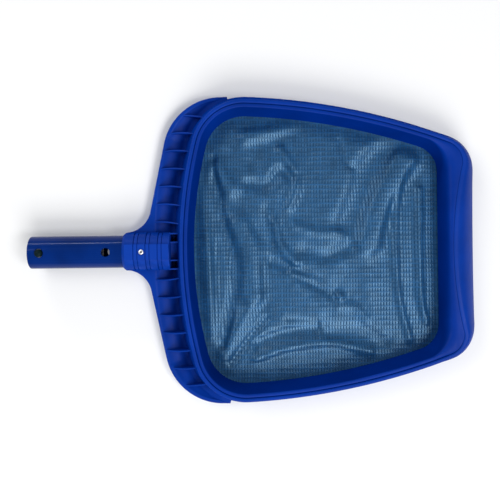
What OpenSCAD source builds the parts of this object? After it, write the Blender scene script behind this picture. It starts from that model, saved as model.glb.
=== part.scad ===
// Leaf skimmer net for a swimming pool.
// A moulded frame carries a slack net, a clamp ring, a scoop lip and a riveted tube with a spring clip.
// Millimetres, +Z up. The tool lies flat: the handle points to -X and the scoop lip to +X.

/* [Rim] */
// Length of the rim's joint line, from the back to the front
rim_l = 232.4; // [222:0.2:242]
// Half of the joint line's greatest width
rim_half_w = 127.1; // [122:0.1:131]
// Distance of the widest place from the back of the rim
rim_widest = 28.4; // [24:0.1:32]
// Height of the rim
rim_h = 30; // [26:0.5:34]
// Radius of the bowed back of the rim
back_r = 380; // [360:5:420]
// Radius of the two back corners
corner_r = 42.5; // [38:0.5:46]
// Radius of the two bowed sides
side_r = 574; // [550:1:620]
// Radius of the two front corners
front_r = 31; // [28:0.5:34]
// How far the foot of the wall stands out from the joint line
foot_w = 10.6; // [9.4:0.1:11.6]
// Thickness of the rim wall
wall_t = 2.5; // [2:0.1:3]
// Radius of the bead along the top of the wall
bead_r = 1.8; // [1.5:0.05:2]
// Thickness of the ledge under the net
ledge_t = 2.6; // [2.4:0.1:3]
// Height of the step that carries the clamp ring, below the rim's top
seat_drop = 3.4; // [2.8:0.1:4]

/* [Clamp ring and net] */
// How far the ring reaches in from the joint line, at the net
ring_w = 7.2; // [6.4:0.1:8]
// Thickness of the ring's wall
ring_t = 2.2; // [1.8:0.1:2.4]
// Thickness of the ring's foot
ring_foot_t = 1.6; // [1.2:0.1:2]
// Radius of the hem's cord
hem_r = 0.9; // [0.7:0.05:0.95]
// Thickness of the net
net_t = 0.3; // [0.3:0.05:0.5]
// Gaps along the net
net_cols = 20; // [12:1:20]
// Gaps across the net
net_rows = 14; // [10:1:14]
// Width of a strand
strand_w = 3.4; // [2.4:0.1:4.2]
// How far the slack net hangs below its edge
net_sag = 1; // [0:0.1:1.2]
// Height of the tallest fold
fold_h = 4; // [2:0.2:6]

/* [Scoop lip] */
// Width of the lip from the front of the rim, on the axis
lip_w = 24; // [21:0.5:28]
// Radius of the lip's two corners
lip_corner_r = 37; // [33:0.5:40]
// Fullness of the lip's convex slope, where 0 is a straight slope and 1 a quarter round
lip_bulge = 0.6; // [0.2:0.05:1]
// How far the ring's front corners reach past the front of the rim
shelf_w = 8.3; // [6:0.1:10]
// Radius of the ring's front corners
shelf_r = 19; // [17:0.5:22]
// Gap of the joint line around the ring's front
joint_gap = 0.2; // [0.1:0.05:0.4]

/* [Yoke] */
// Thickness of the yoke's skin
skin_t = 3; // [2.4:0.1:3.4]
// Height of the yoke's outer edge
yoke_h = 12; // [10:0.5:13]
// Width of the flat edge round the yoke
edge_w = 3; // [2.4:0.1:3.6]
// Slant of the yoke's flanks from square
flank_a = 12; // [10:0.5:14]
// Radius of the yoke's outer corners
yoke_corner_r = 51; // [48:0.5:54]
// Distance of the yoke's corner centre from the back of the rim
yoke_corner_x = 32.4; // [30:0.2:35]
// Distance of the yoke's corner centre from the axis
yoke_corner_y = 84; // [80:0.5:86]
// Radius of the hollow fillet between collar and flank
fillet_r = 23; // [20:0.5:25]
// Number of gusset ribs on each side
ribs = 7; // [4:1:8]
// Distance between gusset ribs
rib_pitch = 15.6; // [14.6:0.1:16]
// Distance of the first gusset rib from the axis
rib_first = 25.6; // [23:0.1:27]
// Thickness of a rib
rib_t = 1.4; // [1.2:0.1:1.8]
// Bend radius of the gusset ribs, seen from above
rib_bend_r = 75; // [72:1:120]
// Height of the ribs at the rim wall
rib_h = 22; // [18:0.5:24]

/* [Socket barrel] */
// Length of the barrel
barrel_l = 40.6; // [38:0.1:46]
// Gap between the barrel's end and the foot of the rim
barrel_gap = 1.2; // [0.6:0.1:2]
// Outer radius of the barrel
barrel_r = 16.5; // [16:0.1:17.2]
// Width of the raised flat along the top of the barrel
pad_w = 13.2; // [11:0.1:15]
// Width of a groove between the barrel's rings
groove_w = 4.2; // [3:0.1:5]
// Depth of the grooves
groove_d = 0.7; // [0.4:0.05:1]
// Distance between grooves
groove_pitch = 10.3; // [10:0.1:11]
// Distance of the first groove from the barrel's nose
groove_x = 11.8; // [11:0.1:13]
// Clearance of the tube in its socket
socket_gap = 0.1; // [0.05:0.01:0.2]
// Thickness of the closed end of the socket
socket_end_t = 2; // [1.5:0.1:3]

/* [Handle tube] */
// Outer radius of the tube
tube_r = 14; // [13.6:0.05:14.4]
// Wall of the tube
tube_wall = 1.6; // [1.2:0.05:1.8]
// Length of tube outside the barrel
tube_out = 81.2; // [74:0.1:100]
// Height of the tube's axis
axis_z = 17.5; // [17.5:0.1:19]
// Chamfer at the tube's tip
tip_chamfer = 0.6; // [0.3:0.1:1]
// Radius of the cross holes
hole_r = 3.8; // [3.7:0.05:4]
// Distance of the first hole from the tip
hole_x = 10.3; // [9:0.1:13]
// Distance between the two pairs of holes
hole_pitch = 57; // [50:0.5:60]

/* [Blind rivet] */
// Radius of the rivet's head
rivet_head_r = 2.2; // [2:0.1:2.8]
// Radius of the rivet's shank
rivet_r = 1.6; // [1.4:0.1:1.8]
// Thickness of the rivet's head
rivet_head_t = 0.9; // [0.6:0.1:1.2]
// Radius of the mandrel
mandrel_r = 0.9; // [0.7:0.05:1]

/* [Spring clip] */
// Radius of the snap buttons
button_r = 3.2; // [3:0.05:3.25]
// How far a button stands out of the tube
button_out = 3.2; // [2.8:0.1:3.3]
// Height of a button's dome
dome_h = 1.6; // [1.2:0.1:2]
// Thickness of the spring strip
strip_t = 0.8; // [0.6:0.05:0.9]
// Width of the spring strip
strip_w = 9; // [8:0.1:9.2]
// Length of a leg, from the bend to the button
leg_l = 44; // [40:0.5:45]
// Radius of the bend, at the middle of the strip
bend_r = 8; // [7:0.1:8.4]
// Gap between a leg and the bend
leg_gap = 0.3; // [0.2:0.05:0.4]

/* [Hidden] */
eps = 0.01;
cut = 1;

// Places along X, with the origin at the middle of the whole length
overall_l = tube_out + barrel_l + barrel_gap + foot_w + rim_l + lip_w;
lip_x = overall_l / 2;
rim_front_x = lip_x - lip_w;
rim_back_x = rim_front_x - rim_l;
barrel_end_x = rim_back_x - foot_w - barrel_gap;
nose_x = barrel_end_x - barrel_l;
tip_x = nose_x - tube_out;
button_x = tip_x + hole_x;
spare_hole_x = button_x + hole_pitch;
bend_x = button_x + leg_l;
rivet_x = nose_x + groove_x + groove_pitch / 2;
socket_end_x = barrel_end_x - socket_end_t;

// Heights
seat_z = rim_h - seat_drop;
bead_z = rim_h - bead_r;
foot_h = 1.6;
foot_z = ledge_t + net_t;
net_z = ledge_t + net_t / 2;

// Distances from the joint line: the seat's inner edge, the ring's outer face, the ledge and the hem
seat_w = 1.6;
ring_gap = 0.25;
ledge_w = ring_w - 0.3;
hem_d = -4.3;
groove_half_w = 1.3;
groove_floor_z = ledge_t - 2 * hem_r;
crest_r = 1.75;

// Meeting point of two circles, on the right of the way from the first centre to the second
function meet(c0, r0, c1, r1) =
    let (way = (c1 - c0) / norm(c1 - c0),
         along = (r0 * r0 - r1 * r1 + pow(norm(c1 - c0), 2)) / (2 * norm(c1 - c0)),
         off = sqrt(r0 * r0 - along * along))
    c0 + along * way + off * [way.y, -way.x];
function direction(a, b) = atan2(b.y - a.y, b.x - a.x);
function polar(c, r, a) = c + r * [cos(a), sin(a)];
function arc(c, r, a0, a1, steps) = [for (i = [0 : steps]) polar(c, r, a0 + (a1 - a0) * i / steps)];
function flip(points) = [for (p = points) [p.x, -p.y]];
// Centre of a corner that touches a bowed side and a straight front
function front_centre(front, bow, r) =
    [front - r, side_c.y + sqrt(pow(bow - r, 2) - pow(front - r - side_c.x, 2))];

// Centres and end angles of the joint line's arcs, on the +Y side
back_c = [rim_back_x + back_r, 0];
side_c = [rim_back_x + rim_widest, rim_half_w - side_r];
corner_c = meet(back_c, back_r - corner_r, side_c, side_r - corner_r);
front_c = front_centre(rim_front_x, side_r, front_r);
back_a = direction(back_c, corner_c);
side_a0 = direction(side_c, front_c);
side_a1 = direction(side_c, corner_c);

// Distance of the rim wall's outer face from the joint line at a height
function wall_d(z) = foot_w - (z - foot_h) * (foot_w - 2 * bead_r) / (bead_z - foot_h);

// Joint line at the front of the ring: round corners, and a run bowed in toward the net
shelf_x = rim_front_x + shelf_w;
shelf_c = front_centre(shelf_x, side_r, shelf_r);
shelf_a = direction(side_c, shelf_c);
bow_r = (pow(shelf_w + 0.3, 2) + pow(shelf_c.y, 2)) / (2 * (shelf_w + 0.3));
bow_c = [rim_front_x - 0.3 + bow_r, 0];

// Corner of the scoop lip's edge, tangent to the flared foot of the sides
lip_c = front_centre(lip_x, side_r + foot_w, lip_corner_r);
lip_a = direction(side_c, lip_c);

// Steps along each arc of the joint line
front_steps = 8;
front_turn_steps = 10;
side_steps = 8;
corner_steps = 10;
back_steps = 5;

// Stations along the joint line: centre of the arc, its radius and the angle on it
function stations(c, r, a0, a1, steps) = [for (i = [1 : steps]) [c, r, a0 + (a1 - a0) * i / steps]];
function other_side(s) = [[s[0].x, -s[0].y], s[1], -s[2]];
function backwards(list) = [for (i = [len(list) - 1 : -1 : 0]) list[i]];
front_run = [for (i = [0 : front_steps - 1])
    [[front_c.x, front_c.y * (2 * i / front_steps - 1)], front_r, 0]];
side_run = concat([[front_c, front_r, 0]],
                  stations(front_c, front_r, 0, side_a0, front_turn_steps),
                  stations(side_c, side_r, side_a0, side_a1, side_steps));
back_run = concat(stations(corner_c, corner_r, side_a1, back_a, corner_steps),
                  stations(back_c, back_r, back_a, 180, back_steps));
back_path = concat(back_run, [for (i = [len(back_run) - 2 : -1 : 0]) other_side(back_run[i])]);
rim_path = concat(front_run, side_run, back_path,
                  [for (i = [len(side_run) - 1 : -1 : 1]) other_side(side_run[i])]);

// Distances along a ray to the far side and to the near side of a circle
function chord(o, u, c, r) = sqrt(r * r - (c - o) * (c - o) + pow((c - o) * u, 2));
function far_hit(o, u, c, r) = (c - o) * u + chord(o, u, c, r);
function near_hit(o, u, c, r) = (c - o) * u - chord(o, u, c, r);

// How far the joint line and the foot reach out from a station at the front
function joint_reach(o, u) =
    let (side = far_hit(o, u, side_c, side_r),
         bow = near_hit(o, u, bow_c, bow_r))
    direction(side_c, o + side * u) > shelf_a ? side :
    (o + bow * u).y < shelf_c.y ? bow : far_hit(o, u, shelf_c, shelf_r);
function foot_reach(o, u) =
    let (side = far_hit(o, u, side_c, side_r + foot_w),
         edge = (lip_x - o.x) / u.x)
    (o + edge * u).y < lip_c.y ? edge :
    direction(side_c, o + side * u) > lip_a ? side : far_hit(o, u, lip_c, lip_corner_r);

// At a station: reach of the joint line, reach of the foot, share of the front in the shape
function reach(s) =
    let (up = s[0].y < 0 && s[2] <= 0 ? other_side(s) : s,
         u = [cos(up[2]), sin(up[2])],
         o = up[0] + up[1] * u,
         share = max(0, 1 - up[2] / side_a0))
    abs(s[2]) < side_a0 - eps ?
        [joint_reach(o, u), foot_reach(o, u), share * share * (3 - 2 * share)] : [0, foot_w, 0];

// A point of a section [distance out from the joint line, height], set at a station
function placed(s, p) =
    [s[0].x + (s[1] + p.x) * cos(s[2]), s[0].y + (s[1] + p.x) * sin(s[2]), p.y];

// Skin over rings of points: a closed loop, or a run with flat ends
module loft(rings, closed = false) {
    n = len(rings[0]);
    m = len(rings);
    sides = [for (i = [0 : m - (closed ? 1 : 2)]) for (j = [0 : n - 1])
        let (a = i * n, b = ((i + 1) % m) * n, k = (j + 1) % n)
        each [[a + j, a + k, b + k], [a + j, b + k, b + j]]];
    ends = closed ? [] : [[for (j = [n - 1 : -1 : 0]) j], [for (j = [0 : n - 1]) (m - 1) * n + j]];
    polyhedron([for (ring = rings) each ring], concat(sides, ends), convexity = 8);
}
module sweep_back(section) {
    loft([for (s = back_path) [for (p = section) placed(s, p)]]);
}

// Slope from a top to a foot without its ends, bulged by a share of the front
slope_rows = 5;
function slope(top, foot, share) =
    let (power = 2 / (1 + lip_bulge * share))
    [for (i = [1 : slope_rows - 1]) let (a = 90 * i / slope_rows)
        [top.x + (foot.x - top.x) * pow(sin(a), power), foot.y + (top.y - foot.y) * pow(cos(a), power)]];

// Section of the frame's rim: a channel with a sloped wall, bead, seat, inner wall and grooved ledge
bead_steps = 6;
function rim_section(joint, foot, share) =
    let (crown = [bead_r, bead_r * (1 - 0.85 * share)],
         roof_z = seat_z - wall_t,
         slant = (foot_w - 2 * bead_r) / (bead_z - foot_h))
    concat(
        [[foot, 0], [foot, foot_h]],
        backwards(slope([joint + 2 * bead_r, bead_z], [foot, foot_h], share)),
        [for (i = [0 : bead_steps]) let (a = 180 * i / bead_steps)
            [joint + bead_r + crown.x * cos(a), bead_z + crown.y * sin(a)]],
        [[joint, seat_z], [-seat_w, seat_z], [-seat_w, ledge_t]],
        [[hem_d + groove_half_w, ledge_t], [hem_d + groove_half_w, groove_floor_z]],
        [[hem_d - groove_half_w, groove_floor_z], [hem_d - groove_half_w, ledge_t]],
        [[-ledge_w, ledge_t], [-ledge_w, 0]],
        [[wall_t - seat_w, 0], [wall_t - seat_w, roof_z]],
        [[joint + 2 * bead_r + (bead_z - roof_z) * slant - wall_t, roof_z]],
        slope([joint + 2 * bead_r + (bead_z - roof_z) * slant - wall_t, roof_z], [foot - wall_t, 0], share),
        [[foot - wall_t, 0]]
    );
module rim() {
    loft([for (s = rim_path) let (r = reach(s))
        [for (p = rim_section(r[0], r[1], r[2])) placed(s, p)]], closed = true);
}

// Section of the clamp ring: round crest that turns into a full round slope at the front, wall and foot
slope_fullness = 0.7;
function ring_top(joint, share) =
    let (crest = -joint_gap - crest_r,
         outer = joint - joint_gap,
         low = foot_z + 1,
         high = bead_z + 0.4,
         fullness = slope_fullness - 0.22 * min(1, max(0, joint / shelf_w)))
    [for (i = [0 : bead_steps])
        let (a = 180 * i / bead_steps,
             t = 80 * pow(i / bead_steps, 1.4),
             round_top = [crest + (crest_r + (a < 90 ? joint : 0)) * cos(a), bead_z + crest_r * sin(a)],
             full_top = [outer - (outer + ring_w) * pow(sin(t), fullness),
                         low + (high - low) * pow(cos(t), fullness)])
        (1 - share) * round_top + share * full_top];
function ring_section(joint, share) =
    let (face = -seat_w - ring_gap)
    concat(
        [[joint - joint_gap, seat_z]],
        ring_top(joint, share),
        [[-ring_w, foot_z + 1], [-ring_w, foot_z]],
        [[face, foot_z], [face, foot_z + ring_foot_t]],
        [[ring_t - ring_w, foot_z + ring_foot_t], [face, seat_z - ring_t], [face, seat_z]]
    );

// Plan of the yoke, drawn smaller by an inset
yoke_corner = [rim_back_x + yoke_corner_x, yoke_corner_y];
module yoke_plan(inset = 0) {
    c = yoke_corner;
    r = yoke_corner_r - inset;
    start = polar(c, r, 180 - flank_a);
    f_y = barrel_r + fillet_r;
    f_x = start.x - (start.y - f_y) * tan(flank_a) - (fillet_r + inset) / cos(flank_a);
    f_a = asin((nose_x + 1.5 + inset - f_x) / (fillet_r + inset)) - 90;
    half = concat(
        arc([f_x, f_y], fillet_r + inset, f_a, -flank_a, 8),
        arc(c, r, 180 - flank_a, 90, 12),
        [[c.x + 6, c.y + r], [c.x + 6, c.y + 26], [rim_back_x + 30, c.y - 20], [rim_back_x + 12, 0]]
    );
    polygon(concat(half, backwards(flip(half))));
}

// Valley between the yoke's edge and the rim wall: a ramp that gets short and shallow round the corner
valley_far = 27;
valley_z = ledge_t + 2;
valley_foot = foot_w + 1.5;
hollow_far = 60;
function valley_reach(s) =
    let (u = [cos(s[2]), abs(sin(s[2]))])
    abs(s[2]) > back_a + eps ? valley_far :
    max(foot_w + 1,
        min(valley_far, far_hit(corner_c, u, yoke_corner, yoke_corner_r) - corner_r - edge_w));
function valley(far) =
    let (low = yoke_h - (yoke_h - valley_z) * (far - foot_w) / (valley_far - foot_w))
    [[1, yoke_h + cut], [1, low], [min(valley_foot, far - 0.5), low], [far, yoke_h], [far, yoke_h + cut]];
hollow = [[wall_d(0), valley_z - skin_t], [wall_d(0), -cut], [hollow_far, -cut],
          [hollow_far, yoke_h - skin_t], [valley_far, yoke_h - skin_t], [valley_foot, valley_z - skin_t]];

module yoke() {
    difference() {
        linear_extrude(yoke_h)
            yoke_plan();
        loft([for (s = back_path) [for (p = valley(valley_reach(s))) placed(s, p)]]);
        intersection() {
            sweep_back(hollow);
            translate([0, 0, -cut])
                linear_extrude(yoke_h)
                    yoke_plan(skin_t);
        }
    }
}

// Space inside the middle of the rim wall, across the back
inner_far = -25;
inner_space = [
    [inner_far, -cut], [wall_d(foot_h) - wall_t / 2, -cut], [wall_d(foot_h) - wall_t / 2, foot_h],
    [wall_d(bead_z) - bead_r, bead_z], [wall_d(bead_z) - bead_r, rim_h + cut], [inner_far, rim_h + cut]
];

// Upright ribs between the yoke's edge and the rim wall, bent toward the axis
function gusset_space(far) = [[3, 2], [far + 1, 2], [far + 1, yoke_h], [wall_d(rib_h) - 1, rib_h]];
module gusset_plan(y) {
    middle = [rim_back_x - 27 + 0.9 * y * tan(flank_a), y - rib_bend_r];
    polygon(concat(arc(middle, rib_bend_r + rib_t / 2, 110, 70, 6),
                   arc(middle, rib_bend_r - rib_t / 2, 70, 110, 6)));
}
module gusset_ribs() {
    intersection() {
        loft([for (s = back_path) [for (p = gusset_space(valley_reach(s))) placed(s, p)]]);
        linear_extrude(rib_h + cut)
            intersection() {
                yoke_plan(0.8);
                for (side = [0, 1])
                    mirror([0, side])
                        for (i = [0 : ribs - 1])
                            gusset_plan(rib_first + rib_pitch * i);
            }
    }
}

// Short ribs between the barrel's end and the rim wall, and a web between the inner two
module barrel_rib(y, t, drop) {
    reach = rim_back_x - barrel_end_x + cut;
    translate([barrel_end_x - cut, y + t / 2, 0])
        rotate([90, 0, 0])
            linear_extrude(t)
                polygon([[0, 2], [reach, 2], [reach, rib_h - drop], [0, rib_h + 2 - drop]]);
}
module barrel_ribs() {
    inner = 7.8;
    for (y = [-15.3, -inner, inner, 15.3])
        barrel_rib(y, rib_t, 0);
    barrel_rib(0, 2 * inner, 7);
}

// Rings of the barrel's outline: (place along X, distance from the tube's axis)
function rings(r) = [for (i = [0 : 2])
    let (x = nose_x + groove_x + i * groove_pitch, w = groove_w / 2)
    for (p = [[x - w, r], [x - w, r - groove_d], [x + w, r - groove_d], [x + w, r]]) p];

// Ringed barrel, turned about the tube's axis, with a raised flat along its top
pad_h = 0.1;
module barrel() {
    nose = 2.2;
    pad_start = nose_x + nose + 0.3;
    pad_end = barrel_end_x - 0.4;
    pad_r = barrel_r + pad_h;
    translate([0, 0, axis_z]) {
        rotate([0, 90, 0])
            rotate_extrude($fn = 120)
                polygon([for (p = concat(
                    [[nose_x, 0], [nose_x, tube_r + socket_gap + 0.4], [nose_x + nose, barrel_r]],
                    rings(barrel_r), [[barrel_end_x, barrel_r], [barrel_end_x, 0]]))
                    [p.y, p.x]]);
        translate([0, pad_w / 2, 0])
            rotate([90, 0, 0])
                linear_extrude(pad_w)
                    polygon(concat([[pad_start, 0], [pad_start, pad_r]], rings(pad_r),
                                   [[pad_end, pad_r], [pad_end, 0]]));
    }
}

// Flat on top of the barrel where the rivet's head lands
rivet_seat_z = axis_z + barrel_r - 0.4;
module rivet_hole(r, top, bottom) {
    translate([rivet_x, 0, bottom])
        cylinder(h = top - bottom, r = r, $fn = 48);
}

module frame() {
    color([0.03, 0.17, 0.55])
        difference() {
            union() {
                difference() {
                    union() {
                        yoke();
                        gusset_ribs();
                        barrel_ribs();
                    }
                    sweep_back(inner_space);
                }
                barrel();
                rim();
            }
            translate([nose_x - cut, 0, axis_z])
                rotate([0, 90, 0])
                    cylinder(h = socket_end_x - nose_x + cut, r = tube_r + socket_gap, $fn = 120);
            rivet_hole(rivet_r + 0.1, rivet_seat_z + 5, axis_z);
            rivet_hole(rivet_head_r + 0.8, rivet_seat_z + 5, rivet_seat_z);
        }
}

module clamp_ring() {
    color([0.05, 0.22, 0.62])
        loft([for (s = rim_path) let (r = reach(s))
            [for (p = ring_section(r[0], r[2])) placed(s, p)]], closed = true);
}

// Cord of the hem, in the ledge's groove
module net_hem() {
    cord_r = (hem_r - 0.02) / cos(22.5);
    cord = arc([hem_d, groove_floor_z + hem_r], cord_r, 22.5, 337.5, 7);
    color([0.2, 0.35, 0.5])
        loft([for (s = rim_path) [for (p = cord) placed(s, p)]], closed = true);
}

// Hollow tube with a chamfered tip and two pairs of cross holes
module handle_tube() {
    inner = tube_r - tube_wall;
    color([0.03, 0.14, 0.4])
        difference() {
            translate([0, 0, axis_z])
                rotate([0, 90, 0])
                    rotate_extrude($fn = 120)
                        polygon([
                            [inner, tip_x], [tube_r - tip_chamfer, tip_x], [tube_r, tip_x + tip_chamfer],
                            [tube_r, socket_end_x], [inner, socket_end_x]
                        ]);
            for (x = [button_x, spare_hole_x])
                translate([x, 0, axis_z - tube_r - cut])
                    cylinder(h = 2 * (tube_r + cut), r = hole_r, $fn = 60);
            rivet_hole(rivet_r + 0.1, rivet_seat_z, axis_z);
        }
}

// Hollow rivet with a flanged head and a swollen tail under the tube's wall
module rivet_body() {
    tail_z = axis_z + tube_r - tube_wall;
    color([0.82, 0.83, 0.85])
        translate([rivet_x, 0, 0])
            rotate_extrude($fn = 48)
                polygon([
                    [mandrel_r, tail_z - 3],
                    [rivet_r + 0.5, tail_z - 2.6],
                    [rivet_r + 0.9, tail_z - 1.2],
                    [rivet_r, tail_z - 0.1],
                    [rivet_r, rivet_seat_z],
                    [rivet_head_r, rivet_seat_z],
                    [rivet_head_r, rivet_seat_z + 0.3],
                    [mandrel_r + 0.5, rivet_seat_z + rivet_head_t],
                    [mandrel_r, rivet_seat_z + rivet_head_t]
                ]);
}

module rivet_mandrel() {
    tail_z = axis_z + tube_r - tube_wall - 3;
    color([0.4, 0.41, 0.43])
        translate([rivet_x, 0, tail_z]) {
            cylinder(h = rivet_seat_z - tail_z, r = mandrel_r, $fn = 36);
            translate([0, 0, -1.2])
                cylinder(h = 1.2, r = mandrel_r + 0.5, $fn = 36);
        }
}

// Half ring of spring strip that joins the two legs
module clip_bend() {
    color([0.6, 0.62, 0.65])
        translate([bend_x, 0, axis_z])
            rotate([90, 0, 0])
                rotate([0, 0, -90])
                    translate([0, 0, -strip_w / 2])
                        rotate_extrude(angle = 180, $fn = 90)
                            translate([bend_r - strip_t / 2, 0])
                                square([strip_t, strip_w]);
}

// Upper leg at rest: a slanted strip with a flat round end under the button
pad_z = bend_r + (tube_r - tube_wall - bend_r) * 0.6;
stem_r = 1.5;
module leg() {
    pad_l = 6.5;
    t = strip_t / 2;
    root = bend_x - leg_gap;
    difference() {
        union() {
            translate([0, strip_w / 2, axis_z])
                rotate([90, 0, 0])
                    linear_extrude(strip_w)
                        polygon([
                            [root, bend_r - t], [root, bend_r + t],
                            [button_x + pad_l, pad_z + t], [button_x, pad_z + t],
                            [button_x, pad_z - t], [button_x + pad_l, pad_z - t]
                        ]);
            translate([button_x, 0, axis_z + pad_z - t])
                cylinder(h = strip_t, r = strip_w / 2, $fn = 60);
        }
        translate([button_x, 0, axis_z])
            cylinder(h = tube_r, r = stem_r, $fn = 36);
    }
}

// Upper button at rest: domed pin, with a stem riveted through the leg
module button() {
    top = tube_r + button_out;
    foot = pad_z + strip_t / 2;
    dome_r = (button_r * button_r + dome_h * dome_h) / (2 * dome_h);
    dome_a = asin(button_r / dome_r);
    tail = pad_z - strip_t / 2;
    translate([button_x, 0, axis_z])
        rotate_extrude($fn = 60)
            polygon(concat(
                [[0, tail - 0.6], [stem_r + 0.6, tail - 0.6], [stem_r + 0.6, tail], [stem_r, tail]],
                [[stem_r, foot], [button_r, foot], [button_r, top - dome_h]],
                [for (i = [1 : 5]) [dome_r * sin(dome_a * (1 - i / 6)),
                                    top - dome_r + dome_r * cos(dome_a * (1 - i / 6))]],
                [[0, top]]
            ));
}

// Turns a piece of the upper leg over to the lower side of the tube
module lower_side() {
    translate([0, 0, 2 * axis_z])
        mirror([0, 0, 1])
            children();
}

module upper_leg() {
    color([0.6, 0.62, 0.65])
        leg();
}
module upper_button() {
    color([0.08, 0.12, 0.14])
        button();
}
module lower_leg() {
    color([0.6, 0.62, 0.65])
        lower_side()
            leg();
}
module lower_button() {
    color([0.08, 0.12, 0.14])
        lower_side()
            button();
}

// Net border: the joint line's arcs, drawn in by the hem's lap
net_in = 2.4;
back_len = (back_r - net_in) * (180 - back_a) * PI / 180;
corner_half = (back_a - side_a1) / 2;
corner_len = (corner_r - net_in) * corner_half * PI / 180;
side_len = (side_r - net_in) * (side_a1 - side_a0) * PI / 180;
front_len = (front_r - net_in) * side_a0 / 2 * PI / 180;
function degrees_of(len, r) = len / (r - net_in) * 180 / PI;
function net_back(t) =
    let (s = abs(2 * t - 1) * (back_len + corner_len),
         p = s <= back_len ? polar(back_c, back_r - net_in, 180 - degrees_of(s, back_r)) :
             polar(corner_c, corner_r - net_in, back_a - degrees_of(s - back_len, corner_r)))
    [p.x, t < 0.5 ? -p.y : p.y];
function net_front(t) =
    let (s = abs(2 * t - 1) * (front_c.y + front_len),
         p = s <= front_c.y ? [rim_front_x - net_in, s] :
             polar(front_c, front_r - net_in, degrees_of(s - front_c.y, front_r)))
    [p.x, t < 0.5 ? -p.y : p.y];
function net_side(t) =
    let (s = t * (corner_len + side_len + front_len))
    s <= corner_len ? polar(corner_c, corner_r - net_in, side_a1 + corner_half - degrees_of(s, corner_r)) :
    s <= corner_len + side_len ?
        polar(side_c, side_r - net_in, side_a1 - degrees_of(s - corner_len, side_r)) :
    polar(front_c, front_r - net_in, side_a0 - degrees_of(s - corner_len - side_len, front_r));

// Place on the net at shares u along and v across, between the four borders
function net_plan(u, v) =
    let (top = net_side(u),
         low = [top.x, -top.y],
         c0 = net_side(0),
         c1 = net_side(1))
    (1 - v) * low + v * top + (1 - u) * net_back(v) + u * net_front(v)
        - (1 - u) * [c0.x, (2 * v - 1) * c0.y] - u * [c1.x, (2 * v - 1) * c1.y];

// Folds of the slack cloth: start, end, half width and share of the tallest fold
folds = [
    [[-27, 8], [-22, -84], 7, 0.8],
    [[138, 54], [142, -66], 7, 0.9],
    [[58, -22], [118, -78], 9, 1],
    [[-14, -104], [38, -58], 8, 0.7],
    [[-24, 84], [26, 62], 10, 0.7],
    [[26, 62], [38, 22], 8, 0.6],
    [[92, 62], [60, -4], 12, 0.6],
    [[24, -96], [110, -86], 8, 0.5]
];
function fold_lift(p, f) =
    let (way = f[1] - f[0],
         t = min(1, max(0, (p - f[0]) * way / (way * way))),
         off = norm(p - f[0] - t * way) / f[2])
    f[3] * exp(-off * off);
function sum(list, i = 0) = i < len(list) ? list[i] + sum(list, i + 1) : 0;
function net_height(p, rim) =
    let (fade = min(1, rim / 14),
         ease = fade * fade * (3 - 2 * fade),
         lift = fold_h * min(1.1, sum([for (f = folds) fold_lift(p, f)])))
    net_z + ease * (lift - net_sag);

// How far a place lies inside the joint line
function rim_depth(p) =
    let (q = [p.x, abs(p.y)],
         back_turn = direction(corner_c, q),
         front_turn = direction(front_c, q))
    back_turn > side_a1 && back_turn < back_a ? corner_r - norm(q - corner_c) :
    front_turn > 0 && front_turn < side_a0 ? front_r - norm(q - front_c) :
    min(back_r - norm(q - back_c), side_r - norm(q - side_c), rim_front_x - q.x);

// Strand edges along one side: a solid border, then strands and gaps in turn
selvedge = ring_w + 0.2 - net_in;
function strand_edges(gaps, length) =
    let (start = selvedge / length,
         strand = strand_w / length,
         pitch = (1 - 2 * start + strand) / gaps)
    concat([0], [for (i = [0 : gaps - 1]) each [start + i * pitch, start + (i + 1) * pitch - strand]], [1]);

module net() {
    along = strand_edges(net_cols, rim_l - 2 * net_in);
    across = strand_edges(net_rows, 2 * (rim_half_w - net_in) * 0.86);
    nu = len(along);
    nv = len(across);
    plan = [for (u = along) [for (v = across) net_plan(u, v)]];
    depth = [for (line = plan) [for (p = line) rim_depth(p)]];
    // The cloth lies flat as far as the cells that reach under the ring
    function shallowest(i, j) =
        min([for (a = [max(0, i - 1) : min(nu - 1, i + 1)]) for (b = [max(0, j - 1) : min(nv - 1, j + 1)])
            depth[a][b]]);
    rows = [for (side = [-0.5, 0.5]) for (i = [0 : nu - 1]) for (j = [0 : nv - 1])
        let (p = plan[i][j],
             rim = max(0, shallowest(i, j) - ring_w - 0.15))
        [p.x, p.y, net_height(p, rim) + side * net_t]];
    // A cell is cloth unless both of its spans are gaps
    cloth = function (i, j)
        i >= 0 && j >= 0 && i < nu - 1 && j < nv - 1 && !(i % 2 == 1 && j % 2 == 1);
    top = nu * nv;
    faces = [for (i = [0 : nu - 2]) for (j = [0 : nv - 2]) if (cloth(i, j))
        let (a = i * nv + j, b = a + nv, c = b + 1, d = a + 1)
        each concat(
            [[a, b, c], [a, c, d], [a + top, c + top, b + top], [a + top, d + top, c + top]],
            cloth(i, j - 1) ? [] : [[a, b + top, b], [a, a + top, b + top]],
            cloth(i, j + 1) ? [] : [[c, d + top, d], [c, c + top, d + top]],
            cloth(i - 1, j) ? [] : [[d, a + top, a], [d, d + top, a + top]],
            cloth(i + 1, j) ? [] : [[b, c + top, c], [b, b + top, c + top]]
        )];
    color([0.3, 0.45, 0.6])
        polyhedron(rows, faces, convexity = 20);
}

frame();
clamp_ring();
net();
net_hem();
handle_tube();
rivet_body();
rivet_mandrel();
clip_bend();
upper_leg();
upper_button();
lower_leg();
lower_button();
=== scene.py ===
"""Leaf skimmer net: moulded plastic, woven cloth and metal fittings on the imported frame."""

import math

import bmesh
import bpy
import numpy as np
from bpy.props import FloatProperty, FloatVectorProperty, IntProperty, PointerProperty
from mathutils import Matrix, Vector, noise


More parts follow.
